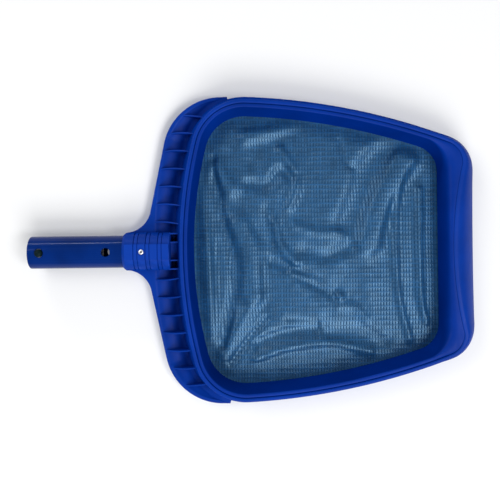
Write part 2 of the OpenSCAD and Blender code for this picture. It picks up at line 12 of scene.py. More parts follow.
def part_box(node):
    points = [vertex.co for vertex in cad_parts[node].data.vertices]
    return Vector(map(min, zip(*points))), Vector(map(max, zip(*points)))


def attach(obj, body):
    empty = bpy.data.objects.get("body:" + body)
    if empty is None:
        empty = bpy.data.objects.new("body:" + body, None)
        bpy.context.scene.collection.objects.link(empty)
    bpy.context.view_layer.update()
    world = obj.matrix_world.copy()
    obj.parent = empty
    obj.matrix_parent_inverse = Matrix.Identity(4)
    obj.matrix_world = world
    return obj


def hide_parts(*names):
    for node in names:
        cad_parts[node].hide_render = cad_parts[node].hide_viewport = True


bl_info = {
    "name": "Leaf Skimmer Net",
    "version": (1, 0, 0),
    "blender": (4, 5, 0),
    "location": "3D View > Sidebar > Skimmer",
    "description": "Dresses a leaf skimmer net with moulded plastic, woven cloth and metal fittings",
    "category": "Object",
}

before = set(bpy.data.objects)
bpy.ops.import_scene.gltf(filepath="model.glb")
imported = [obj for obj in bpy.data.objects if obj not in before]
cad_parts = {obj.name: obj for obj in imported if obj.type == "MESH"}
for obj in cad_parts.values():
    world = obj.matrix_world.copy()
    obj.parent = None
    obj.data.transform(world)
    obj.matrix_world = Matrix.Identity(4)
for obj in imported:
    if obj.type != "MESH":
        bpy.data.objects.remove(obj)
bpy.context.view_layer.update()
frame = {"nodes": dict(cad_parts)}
BODY = "skimmer"
MM = 0.001
TINY = 1e-6  # points closer than this are one


# ---------------------------------------------------------------- sizes and colours


def length(name, default, low=0.0):
    """A property that holds a length in metres."""
    return FloatProperty(name=name, default=default, min=low, unit="LENGTH", precision=5)


def angle(name, degrees):
    """A property that holds an angle."""
    return FloatProperty(name=name, default=math.radians(degrees), subtype="ANGLE")


def power(name, default):
    """A property that holds the power of a light in watts."""
    return FloatProperty(name=name, default=default, min=0, unit="POWER")


def colour(name, default):
    """A property that holds a surface colour."""
    return FloatVectorProperty(name=name, default=default, size=3, min=0, max=1, subtype="COLOR")


class SkimmerRim(bpy.types.PropertyGroup):
    """Sizes of the rim, the clamp ring and the scoop lip"""

    rim_length: length("Joint line's length from the back to the front", 0.2324)
    half_width: length("Half of the joint line's greatest width", 0.1271)
    widest: length("Distance of the widest place from the back", 0.0284)
    height: length("Height of the rim", 0.03)
    back_radius: length("Radius of the bowed back", 0.38)
    corner_radius: length("Radius of the back corners", 0.0425)
    side_radius: length("Radius of the bowed sides", 0.574)
    front_radius: length("Radius of the front corners", 0.031)
    foot: length("Reach of the wall's foot from the joint line", 0.0106)
    wall: length("Thickness of the rim wall", 0.0025)
    bead: length("Radius of the bead on top of the wall", 0.0018)
    ledge: length("Thickness of the ledge under the net", 0.0026)
    seat_drop: length("Depth of the ring's seat below the rim's top", 0.0034)
    ring_width: length("Reach of the ring at the net", 0.0072)
    ring_wall: length("Thickness of the ring's wall", 0.0022)
    joint_gap: length("Gap between the ring and the frame", 0.0002)
    lip_width: length("Width of the scoop lip on the axis", 0.024)
    lip_corner: length("Radius of the lip's corners", 0.037)
    lip_fullness: FloatProperty(name="Fullness of the lip's slope", default=0.6, min=0, max=1)
    shelf_width: length("Reach of the ring's front corners past the front", 0.0083)
    shelf_radius: length("Radius of the ring's front corners", 0.019)


class SkimmerYoke(bpy.types.PropertyGroup):
    """Sizes of the yoke, its ribs and the socket barrel"""

    height: length("Height of the yoke's outer edge", 0.012)
    skin: length("Thickness of the yoke's skin", 0.003)
    edge: length("Width of the flat edge round the yoke", 0.003)
    flank: angle("Slant of the flanks", 12)
    corner_radius: length("Radius of the outer corners", 0.051)
    corner_x: length("Distance of the corner's centre from the back of the rim", 0.0324)
    corner_y: length("Distance of the corner's centre from the axis", 0.084)
    fillet: length("Radius of the fillet beside the barrel", 0.023)
    valley: length("Reach of the valley from the joint line", 0.027)
    ribs: IntProperty(name="Gusset ribs on each side", default=7, min=1, max=8)
    rib_pitch: length("Distance between gusset ribs", 0.0156)
    rib_first: length("Distance of the first rib from the axis", 0.0256)
    rib_thickness: length("Thickness of a rib", 0.0013)
    rib_bend: length("Bend radius of the ribs from above", 0.075)
    rib_height: length("Height of the ribs at the rim wall", 0.022)
    barrel_radius: length("Outer radius of the barrel", 0.0165)
    barrel_gap: length("Gap between the barrel's end and the rim's foot", 0.0012)
    pad_width: length("Width of the raised flat along the barrel's top", 0.0132)
    first_groove: length("Distance of the first groove from the barrel's nose", 0.0118)
    groove_width: length("Width of a groove", 0.0042)
    groove_depth: length("Depth of a groove", 0.0007)
    groove_pitch: length("Distance between grooves", 0.0103)
    axis_height: length("Height of the tube's axis", 0.0175)
    tube_radius: length("Outer radius of the tube", 0.014)
    tube_wall: length("Wall of the tube", 0.0016)


class SkimmerCloth(bpy.types.PropertyGroup):
    """Sizes of the woven net"""

    tape_pitch: length("Distance between tapes that run across", 0.00255)
    tape_width: length("Width of a tape", 0.00246)
    thread_pitch: length("Distance between threads that run lengthwise", 0.0042)
    thread_width: length("Width of a lengthwise thread", 0.0012)
    crown: length("Rise of a tape's middle above its edges", 0.00012)
    over: length("Rise of a lengthwise thread above the tapes", 0.0001)
    stray: length("How far a thread strays from its straight run", 0.0007)
    billow: length("Lift of the slack cloth between its folds", 0.0016)
    ripple: length("Height of the fine ripples", 0.00035)
    fade: length("Width of the flat border inside the ring", 0.015)
    reach: length("Greatest height of a fold above or below the cloth's run", 0.0036)
    broad: length("Size of the swells that the rim pulls flat", 0.02)
    fold: FloatProperty(name="Strength of the folds", default=1.5, min=0)


class SkimmerColours(bpy.types.PropertyGroup):
    """Colours of the plastic and the cloth"""

    frame: colour("Blue of the moulded frame", (0.0012, 0.033, 0.28))
    ring: colour("Blue of the clamp ring", (0.0006, 0.027, 0.245))
    tube: colour("Dark blue of the tube", (0.0001, 0.017, 0.14))
    tape: colour("Pale blue of the cloth's tapes", (0.015, 0.078, 0.19))
    thread: colour("Dark blue of the lengthwise threads", (0.008, 0.048, 0.125))
    button: colour("Dark green of the snap buttons", (0.003, 0.012, 0.014))


class SkimmerStage(bpy.types.PropertyGroup):
    """Camera and lights"""

    eye_height: length("Height of the camera above the floor", 0.6)
    eye_x: length("Camera's place along the tool", -0.00395, low=-1)
    eye_y: length("Camera's place across the tool", 0.01845, low=-1)
    roll: angle("Turn of the camera about its view", 0.7)
    lens: FloatProperty(name="Focal length in millimetres", default=48, min=1)
    sensor: FloatProperty(name="Width of the sensor in millimetres", default=36, min=1)
    shift: FloatProperty(name="Shift of the view up the picture", default=-0.042)
    sky: FloatProperty(name="Strength of the even light from all sides", default=0.38, min=0)
    key: power("Large soft light", 20)
    side: power("Small light over the lip", 9)
    fill: power("Light from the opposite side", 8)
    strip: power("Low thin light that draws a line on the tube", 2.4)


# ---------------------------------------------------------------- materials


class Finish:
    """A new material with one principled shader, and the nodes that drive it."""

    def __init__(self, name, colour, roughness, metallic=0.0):
        self.material = bpy.data.materials.new(name)
        self.material.use_nodes = True
        self.tree = self.material.node_tree
        self.surface = self.tree.nodes["Principled BSDF"].inputs
        self.drive("Base Color", (*colour, 1))
        self.drive("Roughness", roughness)
        self.drive("Metallic", metallic)

    def put(self, socket, value):
        """Sets an input to a value, or links it to another node's socket."""
        if isinstance(value, bpy.types.NodeSocket):
            self.tree.links.new(value, socket)
        else:
            socket.default_value = value

    def drive(self, name, value):
        """Sets or links one input of the shader."""
        self.put(self.surface[name], value)

    def add(self, kind, inputs, **settings):
        """Outputs of a new node with the given inputs and settings."""
        node = self.tree.nodes.new(kind)
        for key, value in settings.items():
            setattr(node, key, value)
        for key, value in inputs.items():
            self.put(node.inputs[key], value)
        return node.outputs

    def noise(self, scale, detail=3.0, roughness=0.5, stretch=(1, 1, 1)):
        """Noise on the object's coordinates, drawn out by a stretch of them."""
        place = self.add("ShaderNodeTexCoord", {})["Object"]
        place = self.add("ShaderNodeMapping", {"Vector": place, "Scale": stretch})[0]
        inputs = {"Vector": place, "Scale": scale, "Detail": detail, "Roughness": roughness}
        return self.add("ShaderNodeTexNoise", inputs)[0]

    def spread(self, value, low, high, out_low, out_high):
        """Maps one range of values onto another."""
        return self.add("ShaderNodeMapRange", dict(enumerate((value, low, high, out_low, out_high))))[0]

    def blend(self, factor, first, second):
        """Mixes two colours."""
        return self.add("ShaderNodeMix", {0: factor, 6: first, 7: second}, data_type="RGBA")[2]

    def clouded(self, colour, value, dark, light, low=0.35, high=0.65):
        """A colour that runs from a darker to a lighter tint where a value rises."""
        return self.blend(self.spread(value, low, high, 0, 1), tinted(colour, dark), tinted(colour, light))

    def bump(self, height, strength, distance):
        """Bumps the surface by a height."""
        inputs = {"Height": height, "Strength": strength, "Distance": distance}
        self.drive("Normal", self.add("ShaderNodeBump", inputs)[0])


def tinted(colour, factor, lift=0.0):
    """A colour made darker or lighter."""
    return (*(min(1.0, c * factor + lift) for c in colour), 1)


def moulded_plastic(name, colour, roughness, grain=0.02, sheen=0.07):
    """Moulded plastic: cloudy colour, flow marks, fine grain, edges lightened for rubbing and as a painted
    highlight, scuffs and a sheen on top.
    """
    made = Finish(name, colour, roughness)
    body = made.clouded(colour, made.noise(22, 4, 0.6), 0.88, 1.1)
    geometry = made.add("ShaderNodeNewGeometry", {})
    # Convex edges are made lighter: partly rubbed wear, partly a painted highlight for light that shines
    # through the plastic's edges
    edges = made.spread(geometry["Pointiness"], 0.52, 0.6, 0, 0.35)
    rubbed_and_lit_edges = made.blend(edges, body, tinted(colour, 1.5, 0.006))
    scuffs = made.spread(made.noise(1.0, 2, stretch=(900, 90, 400)), 0.66, 0.78, 0, 0.12)
    made.drive("Base Color", made.blend(scuffs, rubbed_and_lit_edges, tinted(colour, 1.3, 0.03)))
    flow = made.noise(6, 3, stretch=(60, 14, 60))
    made.drive("Roughness", made.spread(flow, 0.3, 0.7, roughness - 0.05, roughness + 0.08))
    made.bump(made.noise(1400, 2), grain, 0.4 * MM)
    facing = made.add("ShaderNodeSeparateXYZ", {0: geometry["Normal"]})["Z"]
    made.drive("Specular IOR Level", made.spread(facing, 0.35, 0.8, 0, sheen))
    return made.material


def glossy_tube(name, colour):
    """Smooth dark blue tube with faint drawing lines along it."""
    made = Finish(name, colour, 0.2)
    made.drive("Base Color", made.clouded(colour, made.noise(40, 3), 0.88, 1.12))
    lines = made.noise(1.0, 3, stretch=(4, 900, 900))
    made.drive("Roughness", made.spread(lines, 0.3, 0.7, 0.2, 0.34))
    made.bump(lines, 0.03, 0.2 * MM)
    made.drive("Specular IOR Level", 0.06)
    made.drive("Specular Tint", (0.2, 0.55, 1.0, 1))
    made.drive("Coat Weight", 0.15)
    made.drive("Coat Roughness", 0.06)
    return made.material


def woven_cloth(name, tape, thread):
    """Glossy woven tapes with painted shade along their edges, and darker threads, told apart by attributes
    of the weave.
    """
    made = Finish(name, tape, 0.38)
    layers = ("thread", "tone", "edge")
    kind, tone, edge = (made.add("ShaderNodeAttribute", {}, attribute_name=name)["Fac"] for name in layers)
    tapes = made.clouded(tape, made.noise(60, 4, 0.6), 0.85, 1.15, 0.3, 0.7)
    toned = made.blend(made.spread(tone, 0.1, 0.9, 0, 0.6), tapes, tinted(tape, 0.4))
    yarn = made.noise(900, 2)
    flecked = made.blend(made.spread(yarn, 0.45, 0.8, 0, 0.4), toned, tinted(tape, 1.6))
    # Tape edges take a darker thread colour: painted shade standing in for the dark gaps between the tapes
    gap_shaded_tapes = made.blend(made.spread(edge, 0, 1, 0, 0.65), flecked, tinted(thread, 0.8))
    threads = made.clouded(thread, tone, 1, 1.7, 0.1, 0.9)
    made.drive("Base Color", made.blend(kind, gap_shaded_tapes, threads))
    made.drive("Roughness", made.spread(yarn, 0.3, 0.7, 0.33, 0.45))
    made.bump(yarn, 0.12, 0.3 * MM)
    dull = made.add("ShaderNodeMath", {0: edge, 1: made.spread(kind, 0, 1, 0, 0.6)}, operation="MAXIMUM")[0]
    made.drive("Specular IOR Level", made.spread(dull, 0, 1, 0.9, 0.25))
    made.drive("IOR", 1.62)
    made.drive("Specular Tint", (0.42, 0.72, 1.0, 1))
    return made.material


def hem_cord(name, colour):
    """Twisted cord of the hem."""
    made = Finish(name, colour, 0.75)
    strands = made.noise(1100, 2)
    made.drive("Base Color", made.clouded(colour, strands, 0.7, 1.4))
    made.bump(strands, 0.5, 0.3 * MM)
    return made.material


def worked_metal(name, colour, roughness, stretch):
    """Metal with fine marks drawn out by a stretch of the noise."""
    made = Finish(name, colour, roughness, 1.0)
    marks = made.noise(1.0, 3, stretch=stretch)
    made.drive("Base Color", made.clouded(colour, marks, 0.86, 1.06))
    made.drive("Roughness", made.spread(marks, 0.3, 0.7, roughness - 0.08, roughness + 0.1))
    made.bump(marks, 0.08, 0.2 * MM)
    return made.material


def finish_of(name, make, *values):
    """The material of that name, made when it is first asked for."""
    return bpy.data.materials.get(name) or make(name, *values)


def frame_plastic(scene):
    """The frame's blue plastic."""
    return finish_of("frame plastic", moulded_plastic, tuple(scene.skimmer_colours.frame), 0.36)


# ---------------------------------------------------------------- the joint line


def polar(centre, radius, angle):
    """Point at an angle on a circle."""
    return Vector((centre[0] + radius * math.cos(angle), centre[1] + radius * math.sin(angle)))


def direction(start, end):
    """Angle of the way from one point to another."""
    return math.atan2(end[1] - start[1], end[0] - start[0])


def eased(share):
    """A share that starts and ends gently."""
    return share * share * (3 - 2 * share)


class JointLine:
    """The closed line of tangent arcs where the clamp ring meets the frame."""

    def __init__(self, rim):
        self.rim = rim
        self.lip_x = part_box("frame")[1].x
        self.front_x = self.lip_x - rim.lip_width
        self.back_x = self.front_x - rim.rim_length
        self.back = Vector((self.back_x + rim.back_radius, 0))
        self.side = Vector((self.back_x + rim.widest, rim.half_width - rim.side_radius))
        self.corner = self.tangent_corner(rim)
        self.front = self.front_centre(self.front_x, rim.side_radius, rim.front_radius)
        self.back_a = direction(self.back, self.corner)
        self.side_a0 = direction(self.side, self.front)
        self.side_a1 = direction(self.side, self.corner)
        self.shelf = self.front_centre(self.front_x + rim.shelf_width, rim.side_radius, rim.shelf_radius)
        self.shelf_a = direction(self.side, self.shelf)
        sink = 0.3 * MM  # the middle of the ring's bowed front lies this far behind the front
        reach = rim.shelf_width + sink
        self.bow_radius = (reach**2 + self.shelf.y**2) / (2 * reach)
        self.bow = Vector((self.front_x - sink + self.bow_radius, 0))
        self.lip = self.front_centre(self.lip_x, rim.side_radius + rim.foot, rim.lip_corner)
        self.lip_a = direction(self.side, self.lip)

    def tangent_corner(self, rim):
        """Centre of the back corner, tangent to the back and the side."""
        r0, r1 = rim.back_radius - rim.corner_radius, rim.side_radius - rim.corner_radius
        way = self.side - self.back
        gap = way.length
        way /= gap
        along = (r0 * r0 - r1 * r1 + gap * gap) / (2 * gap)
        off = math.sqrt(r0 * r0 - along * along)
        return self.back + along * way + off * Vector((way.y, -way.x))

    def front_centre(self, front, bow, radius):
        """Centre of a corner that touches a bowed side and a straight front."""
        x = front - radius
        return Vector((x, self.side.y + math.sqrt((bow - radius) ** 2 - (x - self.side.x) ** 2)))

    def reach(self, origin, u):
        """Reach of the joint line and of the foot from a place at the front, along a direction."""

        def hit(centre, radius, sign=1):
            way = centre - origin
            chord = radius**2 - way.dot(way) + way.dot(u) ** 2
            return way.dot(u) + sign * math.sqrt(chord) if chord > 0 else None

        side = hit(self.side, self.rim.side_radius)
        bow = hit(self.bow, self.bow_radius, -1)
        if direction(self.side, origin + side * u) > self.shelf_a:
            joint = side
        elif bow is not None and (origin + bow * u).y < self.shelf.y:
            joint = bow
        else:
            joint = hit(self.shelf, self.rim.shelf_radius)
        flare = hit(self.side, self.rim.side_radius + self.rim.foot)
        edge = (self.lip_x - origin.x) / max(u.x, TINY)
        if (origin + edge * u).y < self.lip.y:
            foot = edge
        elif direction(self.side, origin + flare * u) > self.lip_a:
            foot = flare
        else:
            foot = hit(self.lip, self.rim.lip_corner)
        return joint, foot

    def station(self, x, y):
        """For a place near the front: its foot on the joint line, the way out and the front's share."""
        if y <= self.front.y:
            return Vector((self.front_x, y)), Vector((1, 0)), 1.0
        angle = direction(self.front, (x, y))
        u = Vector((math.cos(angle), math.sin(angle)))
        return self.front + self.rim.front_radius * u, u, eased(max(0.0, 1 - angle / self.side_a0))

    def depth(self, x, y):
        """How far a place lies inside the joint line."""
        place = Vector((x, abs(y)))
        if self.side_a1 < direction(self.corner, place) < self.back_a:
            return self.rim.corner_radius - (place - self.corner).length
        if 0 < direction(self.front, place) < self.side_a0:
            return self.rim.front_radius - (place - self.front).length
        return min(
            self.rim.back_radius - (place - self.back).length,
            self.rim.side_radius - (place - self.side).length,
            self.front_x - x,
        )

    def wall_reach(self, z):
        """Distance of the wall's outer face from the joint line at a height."""
        top_z = self.rim.height - self.rim.bead
        return self.rim.foot - (z - TOE) * (self.rim.foot - 2 * self.rim.bead) / (top_z - TOE)


# ---------------------------------------------------------------- sections

TOE = 1.6 * MM  # height of the wall's upright toe
SEAT = 1.6 * MM  # width of the ring's seat inside the joint line
GROOVE_OUT, GROOVE_IN, GROOVE_DEPTH = 3.0 * MM, 5.6 * MM, 1.8 * MM  # the hem's groove in the ledge
HEM_IN = 4.3 * MM  # the hem's distance from the joint line
CLOTH_IN = 3.2 * MM  # the cloth's distance from the joint line
CLOTH_ROOM = 0.3 * MM  # room for the cloth between the ledge and the ring
LIP_FLATNESS = 0.85  # share of the bead's height that is gone at the lip
RING_FULLNESS, CORNER_LOSS = 0.7, 0.22  # power of the ring's slope, and what its front corners take off


def slope(top, foot, fullness, rows):
    """Slope from a top to a foot without its ends, straight or bulged."""
    power = 2 / (1 + fullness)
    made = []
    for i in range(1, rows):
        a = math.pi / 2 * i / rows
        x = top[0] + (foot[0] - top[0]) * math.sin(a) ** power
        made.append((x, foot[1] + (top[1] - foot[1]) * math.cos(a) ** power))
    return made


def broad_arch(steps, across=0.75, up=0.7):
    """Points of a unit arch from its outer foot to its inner one: powers below 1 broaden its crown."""
    made = []
    for i in range(steps + 1):
        a = math.pi * i / steps
        x, z = math.cos(a), max(0.0, math.sin(a))
        made.append((math.copysign(abs(x) ** across, x), z**up))
    return made


def rim_section(line, joint, foot, share):
    """Section of the frame's rim: a channel with sloped wall, bead, seat, inner wall and grooved ledge."""
    rim = line.rim
    bead_z, seat_z = rim.height - rim.bead, rim.height - rim.seat_drop
    roof_z, groove_z = seat_z - rim.wall, rim.ledge - GROOVE_DEPTH
    lean = (rim.foot - 2 * rim.bead) / (bead_z - TOE)
    inner_top = (joint + 2 * rim.bead + (bead_z - roof_z) * lean - rim.wall, roof_z)
    crown = rim.bead * (1 - LIP_FLATNESS * share)
    bead = [(joint + rim.bead * (1 + x), bead_z + crown * z) for x, z in broad_arch(14)]
    outer = slope((joint + 2 * rim.bead, bead_z), (foot, TOE), rim.lip_fullness * share, 12)
    inner = slope(inner_top, (foot - rim.wall, 0), rim.lip_fullness * share, 8)
    toe_edge, ledge_edge = 0.5 * MM, 0.4 * MM
    ledge_in = 0.3 * MM - rim.ring_width  # just short of the ring's inner face
    return (
        [(foot - toe_edge, 0), (foot, toe_edge), (foot, TOE)]
        + outer[::-1]
        + bead
        + [(joint, seat_z), (-SEAT, seat_z), (-SEAT, rim.ledge)]
        + [(-GROOVE_OUT, rim.ledge), (-GROOVE_OUT, groove_z)]
        + [(-GROOVE_IN, groove_z), (-GROOVE_IN, rim.ledge)]
        + [(ledge_in + ledge_edge, rim.ledge), (ledge_in, rim.ledge - ledge_edge), (ledge_in, ledge_edge)]
        + [(ledge_in + ledge_edge, 0), (rim.wall - SEAT, 0), (rim.wall - SEAT, roof_z), inner_top]
        + inner
        + [(foot - rim.wall, 0)]
    )


def ring_section(line, joint, share):
    """Section of the clamp ring: crest, wall and foot, and one full slope in their place at the front."""
    rim = line.rim
    bead_z, seat_z = rim.height - rim.bead, rim.height - rim.seat_drop
    inner, foot_z = -rim.ring_width, rim.ledge + CLOTH_ROOM
    crest_radius = 1.75 * MM
    crest = -rim.joint_gap - crest_radius
    crown = []
    for x, z in broad_arch(16):
        stretched = crest_radius + (joint if x > 0 else 0)
        crown.append((crest + stretched * x, bead_z + crest_radius * z))
    wall = ((0.9 * MM, 7 * MM), (0.15 * MM, 1.2 * MM))  # reaches from the inner face, heights over the foot
    crown += [(inner + x, foot_z + z) for x, z in wall]
    outer, low, high = joint - rim.joint_gap, foot_z + 0.8 * MM, bead_z + 0.4 * MM
    fullness = RING_FULLNESS - CORNER_LOSS * min(1.0, max(0.0, joint / rim.shelf_width))
    turn, gather = math.radians(88), 1.4  # the slope's turn, and how closely its points gather near the top
    for i, (x, z) in enumerate(crown):
        t = turn * (i / (len(crown) - 1)) ** gather
        full_x = outer - (outer + rim.ring_width) * math.sin(t) ** fullness
        full_z = low + (high - low) * math.cos(t) ** fullness
        crown[i] = ((1 - share) * x + share * full_x, (1 - share) * z + share * full_z)
    face, foot_top = -1.85 * MM, foot_z + 1.6 * MM
    return (
        [(outer, seat_z)]
        + crown
        + [(inner, foot_z + 0.5 * MM), (inner + 0.4 * MM, foot_z), (face, foot_z), (face, foot_top)]
        + [(inner + rim.ring_wall, foot_top), (face, seat_z - rim.ring_wall), (face, seat_z)]
    )


# ---------------------------------------------------------------- meshes


def only(kind, items):
    """The items of one kind among a mesh operator's results."""
    return [item for item in items if isinstance(item, kind)]


def grid(bm, columns, rows):
    """Adds a flat grid, and returns each of its points with its column and its row."""
    before = set(bm.verts)
    bmesh.ops.create_grid(bm, x_segments=columns, y_segments=rows, size=1)
    made = [vert for vert in bm.verts if vert not in before]
    return [(v, round((v.co.x + 1) / 2 * columns), round((v.co.y + 1) / 2 * rows)) for v in made]


def mirror(bm, merge=TINY):
    """Adds the other side of a shape, and joins the two where they meet."""
    everything = bm.verts[:] + bm.edges[:] + bm.faces[:]
    bmesh.ops.mirror(bm, geom=everything, matrix=Matrix.Identity(4), merge_dist=merge, axis="Y")
    if merge:
        bmesh.ops.remove_doubles(bm, verts=bm.verts, dist=merge)


def swept_rim(line, section):
    """Spins a section along the back, the corner, the side and the front corner, and on across the front.

    The front takes its own sections, and the other side is a mirror of this one.
    """
    bm = bmesh.new()
    row = bm.verts.layers.int.new("row")
    ring = [bm.verts.new((line.back_x - d, 0, z)) for d, z in section(0.0, line.rim.foot, 0.0)]
    for i, vert in enumerate(ring):
        vert[row] = i
    geometry = ring + [bm.edges.new((ring[i], ring[(i + 1) % len(ring)])) for i in range(len(ring))]
    turns = (  # each arc's centre, turn and steps
        (line.back, math.pi - line.back_a, 14),
        (line.corner, line.back_a - line.side_a1, 26),
        (line.side, line.side_a1 - line.side_a0, 22),
        (line.front, line.side_a0, 26),
    )
    for centre, turn, steps in turns:
        geometry = bmesh.ops.spin(
            bm, geom=geometry, cent=(centre.x, centre.y, 0), axis=(0, 0, 1), dvec=(0, 0, 0),
            angle=-turn, space=Matrix.Identity(4), steps=steps,
        )["geom_last"]
    front_steps = 16
    for _ in range(front_steps):
        grown = bmesh.ops.extrude_edge_only(bm, edges=only(bmesh.types.BMEdge, geometry))["geom"]
        moved = set(only(bmesh.types.BMVert, grown))
        bmesh.ops.translate(bm, verts=list(moved), vec=(0, -line.front.y / front_steps, 0))
        geometry = [edge for edge in only(bmesh.types.BMEdge, grown) if moved.issuperset(edge.verts)]
    set_front(bm, row, line, section)
    for vert in bm.verts:
        if abs(vert.co.y) < TINY:
            vert.co.y = 0
    mirror(bm)
    return bm


def set_front(bm, row, line, section):
    """Moves the points of the front and its corner onto the sections that belong there."""
    shaped = {}
    corner_end = line.side_a0 - 1e-4  # where the corner meets the side, it keeps the section that was spun
    for vert in bm.verts:
        x, y = vert.co.x, max(0.0, vert.co.y)
        if x < line.front.x or (y > line.front.y and direction(line.front, (x, y)) > corner_end):
            continue
        origin, u, share = line.station(x, y)
        key = (round(origin.x, 6), round(origin.y, 6))
        if key not in shaped:
            shaped[key] = section(*line.reach(origin, u), share)
        d, z = shaped[key][vert[row]]
        vert.co = (origin.x + u.x * d, origin.y + u.y * d, z)


def turned(profile, closed=False, steps=96, axis_z=0.0, upright=None):
    """Spins a profile of (place, radius) about the tube's axis, or about an upright axis at a place."""
    bm = bmesh.new()
    if upright is None:
        verts = [bm.verts.new((x, 0, axis_z + r)) for x, r in profile]
        centre, axis = (0, 0, axis_z), (1, 0, 0)
    else:
        verts = [bm.verts.new((upright[0] + r, upright[1], z)) for z, r in profile]
        centre, axis = (upright[0], upright[1], 0), (0, 0, 1)
    pairs = list(zip(verts, verts[1:])) + ([(verts[-1], verts[0])] if closed else [])
    edges = [bm.edges.new(pair) for pair in pairs]
    bmesh.ops.spin(
        bm, geom=verts + edges, cent=centre, axis=axis, dvec=(0, 0, 0), angle=2 * math.pi,
        space=Matrix.Identity(4), steps=steps, use_merge=True,
    )
    bmesh.ops.remove_doubles(bm, verts=bm.verts, dist=TINY)
    return bm


def drill(x, z0, z1, radius):
    """Closed upright cylinder."""
    return turned([(z0, 0), (z0, radius), (z1, radius), (z1, 0)], steps=48, upright=(x, 0))


def object_of(name, bm):
    """Puts a mesh into the scene as an object."""
    mesh = bpy.data.meshes.new(name)
    bm.to_mesh(mesh)
    bm.free()
    made = bpy.data.objects.new(name, mesh)
    bpy.context.scene.collection.objects.link(made)
    return made


def piece(name, bm, material, slot, *nodes, outward=True):
    """Makes a smooth object of a mesh and sets it on the skimmer's body in place of its nodes."""
    if outward:
        bmesh.ops.recalc_face_normals(bm, faces=bm.faces)
    made = object_of(name, bm)
    made.data.shade_smooth()
    made.data.materials.append(material)
    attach(made, BODY)
    if nodes:
        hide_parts(*nodes)
    return made


def soften(made, width, segments=2, angle=32):
    """Rounds the edges of a piece that are sharper than an angle, and keeps its flats flat."""
    bevel = made.modifiers.new("Rounded edges", "BEVEL")
    bevel.limit_method = "ANGLE"
    bevel.angle_limit = math.radians(angle)
    bevel.width = width
    bevel.segments = segments
    bevel.affect = "EDGES"
    made.modifiers.new("Flat faces", "WEIGHTED_NORMAL")


def thicken(made, name, thickness, offset):
    """Gives a sheet its thickness."""
    skin = made.modifiers.new(name, "SOLIDIFY")
    skin.thickness, skin.offset = thickness, offset


def combine(made, operation, *shapes):
    """Joins closed shapes to a piece, or cuts them out of it."""
    for bm in shapes:
        bmesh.ops.recalc_face_normals(bm, faces=bm.faces)
        tool = object_of("shape", bm)
        cut = made.modifiers.new("Shape", "BOOLEAN")
        cut.object, cut.operation, cut.solver = tool, operation, "EXACT"
        bpy.context.view_layer.update()
        result = bpy.data.meshes.new_from_object(made.evaluated_get(bpy.context.evaluated_depsgraph_get()))
        made.modifiers.remove(cut)
        spent = (made.data, tool.data)
        made.data = result
        bpy.data.objects.remove(tool)
        for mesh in spent:
            bpy.data.meshes.remove(mesh)
    made.data.shade_smooth()


def middle_x(box):
    """Place of a box's middle along the tool."""
    return (box[0].x + box[1].x) / 2


# ---------------------------------------------------------------- pieces of the frame

VALLEY_FLOOR = 2 * MM  # height of the valley's floor above the ledge
VALLEY_LEAST = 1 * MM  # least width of the valley
VALLEY_FOOT = 1.5 * MM  # width of the level floor at the wall's foot
VALLEY_BEND = 0.12  # how much the valley's slope bends
OVERLAP = 1 * MM  # how far a rib runs into what it stands on
INNER_RIB, OUTER_RIB = 7.8 * MM, 15.3 * MM  # distances of the short ribs from the axis
RIVET_SINK = 0.4 * MM  # depth of the rivet's seat below the barrel's top
RIVET_HOLE = 1.7 * MM  # radius of the rivet's hole


class SKIMMER_OT_rim(bpy.types.Operator):
    """Frame's rim with its bead, ledge and scoop lip"""

    bl_idname = "skimmer.rim"
    bl_label = "Rim and Scoop Lip"

    def execute(self, context):
        scene = context.scene
        line = JointLine(scene.skimmer_rim)
        bm = swept_rim(line, lambda joint, foot, share: rim_section(line, joint, foot, share))
        made = piece("rim_moulding", bm, frame_plastic(scene), "frame_plastic", "frame")
        soften(made, 0.25 * MM)
        return {"FINISHED"}


def outer_corner(yoke, line):
    """Centre of the yoke's outer corner."""
    return Vector((line.back_x + yoke.corner_x, yoke.corner_y))


def barrel_end(yoke, line):
    """Place of the barrel's end, close to the rim's foot."""
    return line.back_x - line.rim.foot - yoke.barrel_gap


def valley_reach(yoke, line, place):
    """Reach of the valley from the joint line beside a place: it gets shorter round the corner."""
    if direction(line.back, place) > line.back_a:
        return yoke.valley
    angle = direction(line.corner, place)
    u = Vector((math.cos(angle), math.sin(angle)))
    way = outer_corner(yoke, line) - line.corner
    hit = way.dot(u) + math.sqrt(yoke.corner_radius**2 - way.dot(way) + way.dot(u) ** 2)
    return max(line.rim.foot + VALLEY_LEAST, min(yoke.valley, hit - line.rim.corner_radius - yoke.edge))


def valley_height(yoke, line, far, d):
    """Height of the yoke's top at a distance from the joint line, where the valley has a given reach."""
    foot = line.rim.foot
    deep = (yoke.height - line.rim.ledge - VALLEY_FLOOR) * (far - foot) / (yoke.valley - foot)
    start = min(foot + VALLEY_FOOT, far - VALLEY_LEAST / 2)
    share = min(1.0, max(0.0, (d - start) / (far - start)))
    bent = share + VALLEY_BEND * math.sin(2 * math.pi * share) / math.pi
    return yoke.height - deep * (1 - bent)


